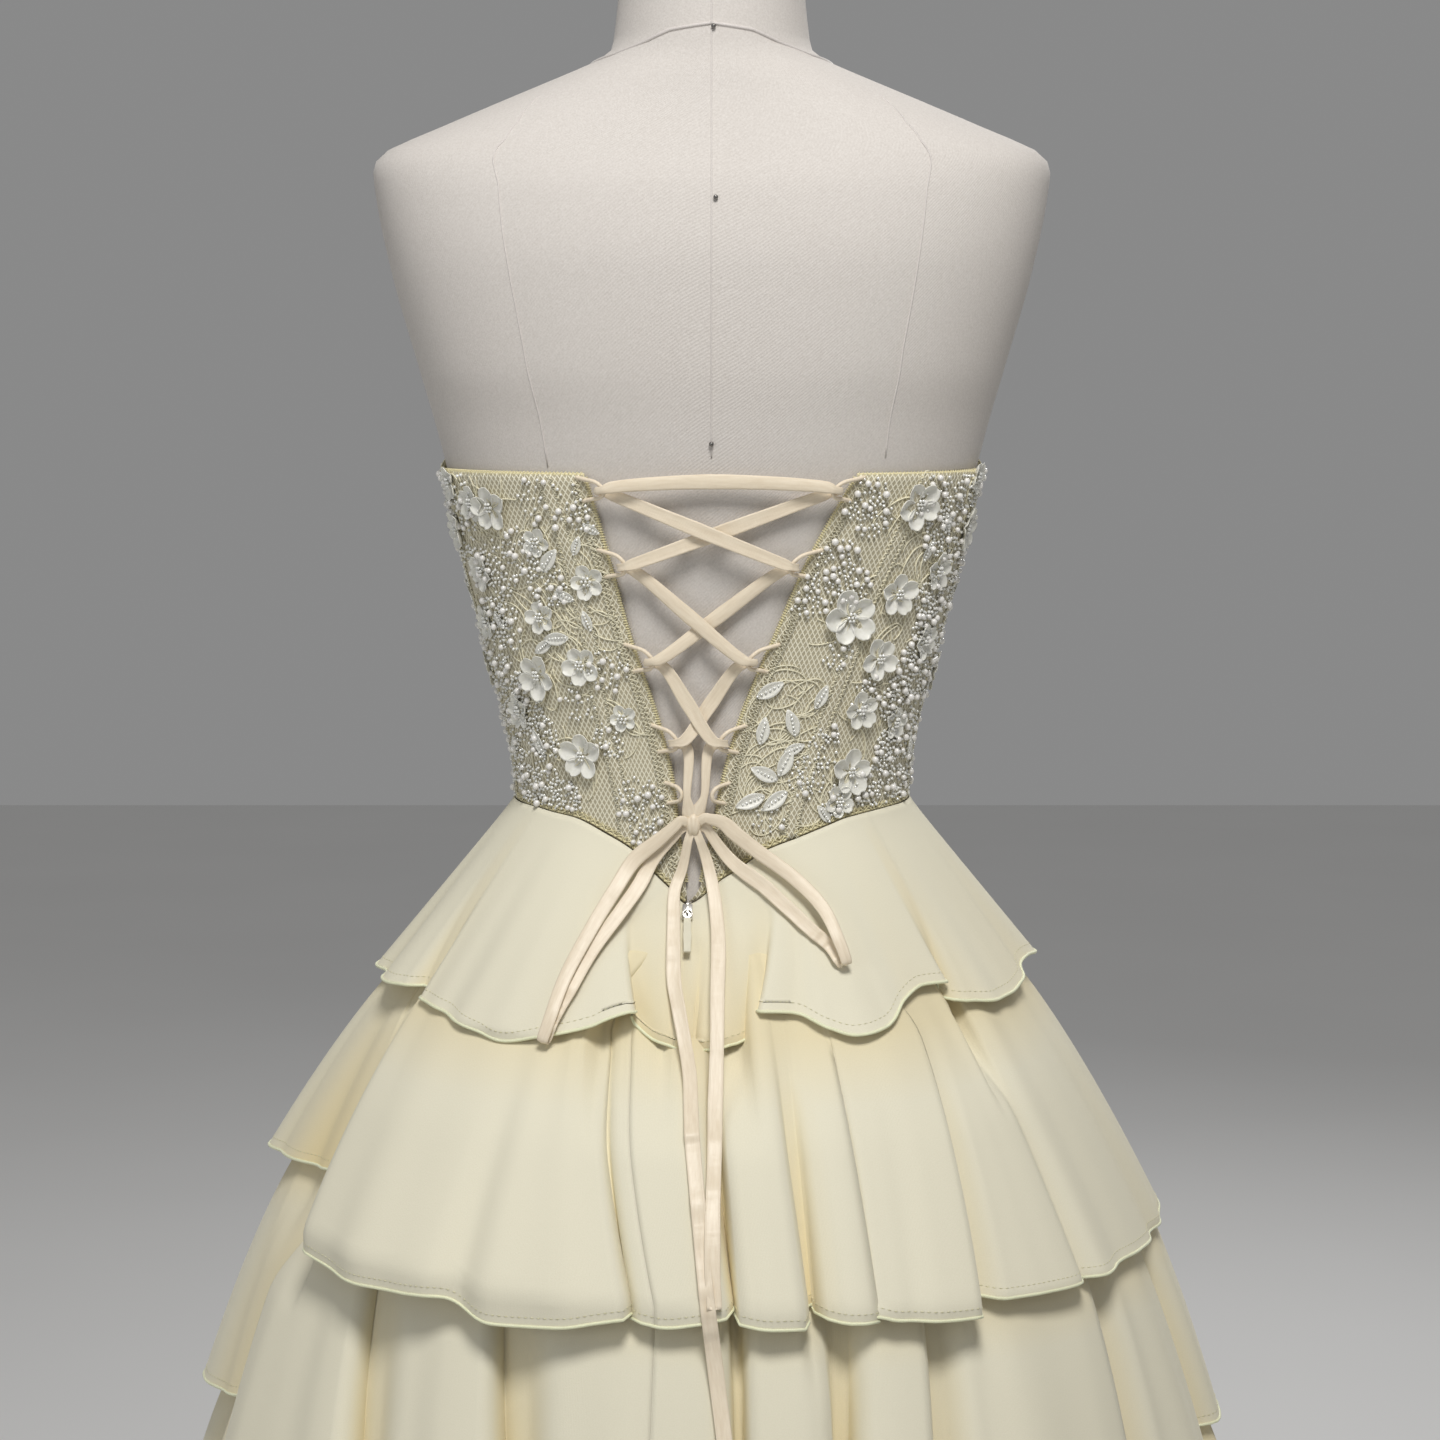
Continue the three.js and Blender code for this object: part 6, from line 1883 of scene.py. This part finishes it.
def add_beads():
    pearls, seeds = bead_places(BEAD_FIELDS + hidden_fields())
    kinds = (("pearls", ROUND_PEARL, pearls, PEARL), ("seed_beads", SEED, seeds, BEADS))
    for kind, shape, rows, material in kinds:
        rows = np.array(rows)
        places, frames = body_frames(rows[:, 0], rows[:, 1], SHELL + rows[:, 2] * 0.42)
        planted_by_panel(kind, shape, places, frames, rows[:, 2], rows[:, 0], material)
    rows = np.array(centre_beads())
    places, frames = body_frames(rows[:, 0], rows[:, 1], SHELL + rows[:, 3])
    planted_by_panel("motif_beads", SEED, places, frames, rows[:, 2], rows[:, 0], BEADS)


add_flowers()
add_leaves()
add_tendrils()
add_beads()


COIL_STRETCH = 1.3


# Overlocked edges: a coil of thread round each laced edge and round the top
def coil(points, outward, radius, pitch, thick, sides=3, per_turn=7):
    length = arc_length(points)
    turns = length[-1] / pitch
    marks = np.linspace(0, length[-1], int(turns * per_turn))
    line = read_along(points, length, marks)
    out = unit(read_along(outward, length, marks))
    along = unit(np.gradient(line, axis=0))
    flank = unit(np.cross(along, out))
    phase = marks / pitch * math.tau
    swing = np.cos(phase)[:, None] * flank * COIL_STRETCH + np.sin(phase)[:, None] * out
    spiral = line + radius * swing
    return thread(spiral, out, thick, sides)


ZIGZAG_MARKS = 4
ZIGZAG_SIDES = 3


# A zigzag of net thread along a line on the bodice, a distance to one side of it
def zigzag(angles, levels, aside, amplitude, pitch, radius=0.0004, out=SHELL + 0.0005):
    points, frames = body_frames(angles, levels, out)
    along = unit(np.gradient(points, axis=0))
    flank = unit(np.cross(along, frames[:, 2]))
    length = arc_length(points)
    marks = np.arange(0, length[-1], pitch / ZIGZAG_MARKS)
    swing = aside + amplitude * np.sin(marks / pitch * math.tau)
    line = read_along(points, length, marks) + read_along(flank, length, marks) * swing[:, None]
    return thread(line, unit(read_along(frames[:, 2], length, marks)), radius, ZIGZAG_SIDES)


LADDER_PITCH = 0.0026
LADDER_SWING = 0.0011
LADDER_POINTS = 80

# Ladders beside each laced edge. Columns: distance from the edge, swing, pitch
EDGE_LADDERS = [(0.0042, 0.0013, 0.003), (0.0066, LADDER_SWING, 0.0024)]
EDGE_LADDER_SPAN = (0.972, 1.178)


# Open ladders in the net, down both sides of each boning channel and beside the laced edges
def add_ladders():
    parts = []
    for stations in CHANNELS:
        table = np.array(stations, float)
        share, marks = np.linspace(0, 1, LADDER_POINTS), np.linspace(0, 1, len(table))
        angles = np.interp(share, marks, table[:, 0])
        levels = np.interp(share, marks, table[:, 1])
        levels = np.clip(levels, waist_level(angles) + 0.001, top_level(angles) - 0.002)
        for side in (-1, 1):
            aside = side * CHANNEL_HALF_WIDTH
            parts.append(zigzag(angles, levels, aside, LADDER_SWING, LADDER_PITCH))
    for side, sign in (("left", -1), ("right", 1)):
        levels = np.linspace(*EDGE_LADDER_SPAN, 100)
        for aside, swing, pitch in EDGE_LADDERS:
            x = laced_edge(side, levels) + sign * aside
            parts.append(zigzag(body_angle(x, levels, SHELL), levels, 0, swing, pitch))
    add_piece("net_ladders", *joined(parts), CORDING)


# Threads along the waist seam. Columns: rise over it, swing, pitch, radius, distance out
WAIST_THREADS = [
    (0.0012, 0.0012, 0.0062, 0.0006, 0.0002), (0.0026, 0.0008, 0.0028, 0.0004, 0.0004),
]
WAIST_CORD_RISE = 0.0002
WAIST_CORD_SUNK = 0.0006
WAIST_EDGE_START = 0.966
WAIST_EDGE_END = 0.963
WAIST_EDGE_POINTS = 500


def angle_at_edge(side, level):
    return float(body_angle(laced_edge(side, level), level, SHELL))


def add_waist_edge():
    parts = []
    start = angle_at_edge("right", WAIST_EDGE_START)
    end = FULL_TURN + angle_at_edge("left", WAIST_EDGE_END)
    angles = np.linspace(start, end, WAIST_EDGE_POINTS)
    level = waist_level(angles)
    for rise, swing, pitch, radius, proud in WAIST_THREADS:
        parts.append(zigzag(angles, level + rise, 0, swing, pitch, radius, SHELL + proud))
    points, frames = body_frames(angles, level + WAIST_CORD_RISE, SHELL - WAIST_CORD_SUNK)
    parts.append(thread(points, frames[:, 2], EDGE_CORD, EDGE_CORD_SIDES))
    add_piece("lace_waist_edge", *joined(parts), EDGE_THREAD)


COIL_THREAD = 0.00035
EDGE_CORD = 0.0009
EDGE_CORD_SIDES = 6
EDGE_SUNK = 0.0012


# A cord along an edge, with the thread that is wound round it
def bound_edge(points, outward, radius, pitch):
    return [
        coil(points, outward, radius, pitch, COIL_THREAD),
        thread(points, outward, EDGE_CORD, EDGE_CORD_SIDES),
    ]


def add_edges():
    for side in ("left", "right"):
        levels = np.linspace(0.966, 1.18, 120)
        x = laced_edge(side, levels)
        angles = body_angle(x, levels, SHELL)
        points, frames = body_frames(angles, levels, SHELL - EDGE_SUNK)
        wound = bound_edge(points, frames[:, 2], 0.0012, 0.0014)
        add_piece(f"laced_edge_{side}", *joined(wound), EDGE_THREAD)
    level, left, right = BACK_OPENING[-1]
    left = float(body_angle(left, level, SHELL))
    right = float(body_angle(right, level, SHELL))
    angles = np.linspace(right, FULL_TURN + left, 360)
    points, frames = body_frames(angles, top_level(angles), SHELL - EDGE_SUNK)
    wound = bound_edge(points, frames[:, 2], 0.0011, 0.0022)
    add_piece("top_edge_binding", *joined(wound), EDGE_THREAD)


add_edges()
add_ladders()
add_waist_edge()


# The zip: slider, ring and cloth-covered pull
def on_slope(piece, name, replaced, material, body, edge):
    piece.name = name
    bpy.ops.object.mode_set(mode="OBJECT")
    piece.rotation_euler = (ZIP_SLOPE, 0, 0)
    piece.location = ZIP_PLACE
    finish_hard(piece, replaced, material, edge, body)


def cube_between(low, high):
    size = [b - a for a, b in zip(low, high)]
    middle = [(a + b) / 2 for a, b in zip(low, high)]
    bpy.ops.mesh.primitive_cube_add(size=1, location=middle, scale=size)


# Two corners of the slider's body, and of the legs and the beam of its bridge
SLIDER = ((-0.0026, -0.0044, 0), (0.0026, 0.0044, 0.0018))
BRIDGE = [
    ((-0.0008, 0.0023, 0.0017), (0.0008, 0.0035, 0.0048)),
    ((-0.0008, -0.0025, 0.0017), (0.0008, -0.0013, 0.0048)),
    ((-0.0008, -0.0013, 0.0036), (0.0008, 0.0023, 0.0048)),
]
TAB_TOP = -0.0047
TAB_END = -0.025


def add_zip():
    deselect()
    cube_between(*SLIDER)
    slider = bpy.context.object
    bpy.ops.object.transform_apply(location=True, rotation=True, scale=True)
    bpy.ops.object.mode_set(mode="EDIT")
    bpy.ops.mesh.select_all(action="DESELECT")
    for low, high in BRIDGE:
        cube_between(low, high)
    on_slope(slider, "zip_slider_body", "zip_slider", ZIP_METAL, "dress", 0.0002)
    deselect()
    bpy.ops.mesh.primitive_torus_add(
        major_segments=28, minor_segments=10, major_radius=0.0024, minor_radius=0.0005,
        location=(0, -0.0022, 0.0027),
    )
    ring = bpy.context.object
    bpy.ops.object.transform_apply(location=True, rotation=True, scale=True)
    on_slope(ring, "zip_pull_ring", None, ZIP_METAL, "pull", 0.0001)
    deselect()
    cube_between((-0.0021, TAB_END, 0.0018), (0.0021, TAB_TOP, 0.0036))
    tab = bpy.context.object
    bpy.ops.object.transform_apply(location=True, rotation=True, scale=True)
    bpy.ops.object.mode_set(mode="EDIT")
    bpy.ops.mesh.select_all(action="SELECT")
    bpy.ops.mesh.subdivide(number_cuts=5)
    bpy.ops.object.mode_set(mode="OBJECT")
    for vertex in tab.data.vertices:
        along = (TAB_TOP - vertex.co.y) / (TAB_TOP - TAB_END)
        vertex.co.x *= 0.86 + 0.14 * math.sin(along * math.pi) + 0.05 * math.sin(along * 14)
    on_slope(tab, "zip_pull_tab", "zip_pull", CHIFFON_CLOTH, "pull", 0.0006)


add_zip()


# Floor and light
def add_light(name, location, target, size, energy, colour):
    data = bpy.data.lights.new(name, "AREA")
    data.shape = "DISK"
    data.size = size
    data.energy = energy
    data.color = colour
    light = bpy.data.objects.new(name, data)
    light.location = location
    light.rotation_euler = (Vector(target) - Vector(location)).to_track_quat("-Z", "Y").to_euler()
    bpy.context.scene.collection.objects.link(light)


# Soft lights. Columns: name, place, what it faces, size, power, colour
LIGHTS = [
    ("key_light", (0.15, -1.25, 2.75), (0, -0.05, 1.0), 0.7, 34, (1, 0.985, 0.965)),
    ("fill_light", (-2.2, -2.4, 1.4), (0, 0, 0.95), 1.6, 11, (0.97, 0.99, 1)),
    ("rim_light", (0.8, 2.4, 2.4), (0, 0, 1.0), 1.2, 22, (1, 1, 1)),
]
FLOOR_SIZE = 14
BACKDROP = (0.74, 0.74, 0.74, 1)
BACKDROP_STRENGTH = 0.34


def add_surroundings():
    bpy.context.scene.view_settings.view_transform = "Standard"
    deselect()
    bpy.ops.mesh.primitive_plane_add(size=FLOOR_SIZE)
    floor = bpy.context.object
    floor.name = "studio_floor"
    floor.data.materials.append(floor_material())
    for light in LIGHTS:
        add_light(*light)
    world = bpy.data.worlds.new("studio")
    world.use_nodes = True
    backdrop = world.node_tree.nodes["Background"]
    backdrop.inputs["Color"].default_value = BACKDROP
    backdrop.inputs["Strength"].default_value = BACKDROP_STRENGTH
    bpy.context.scene.world = world


add_surroundings()
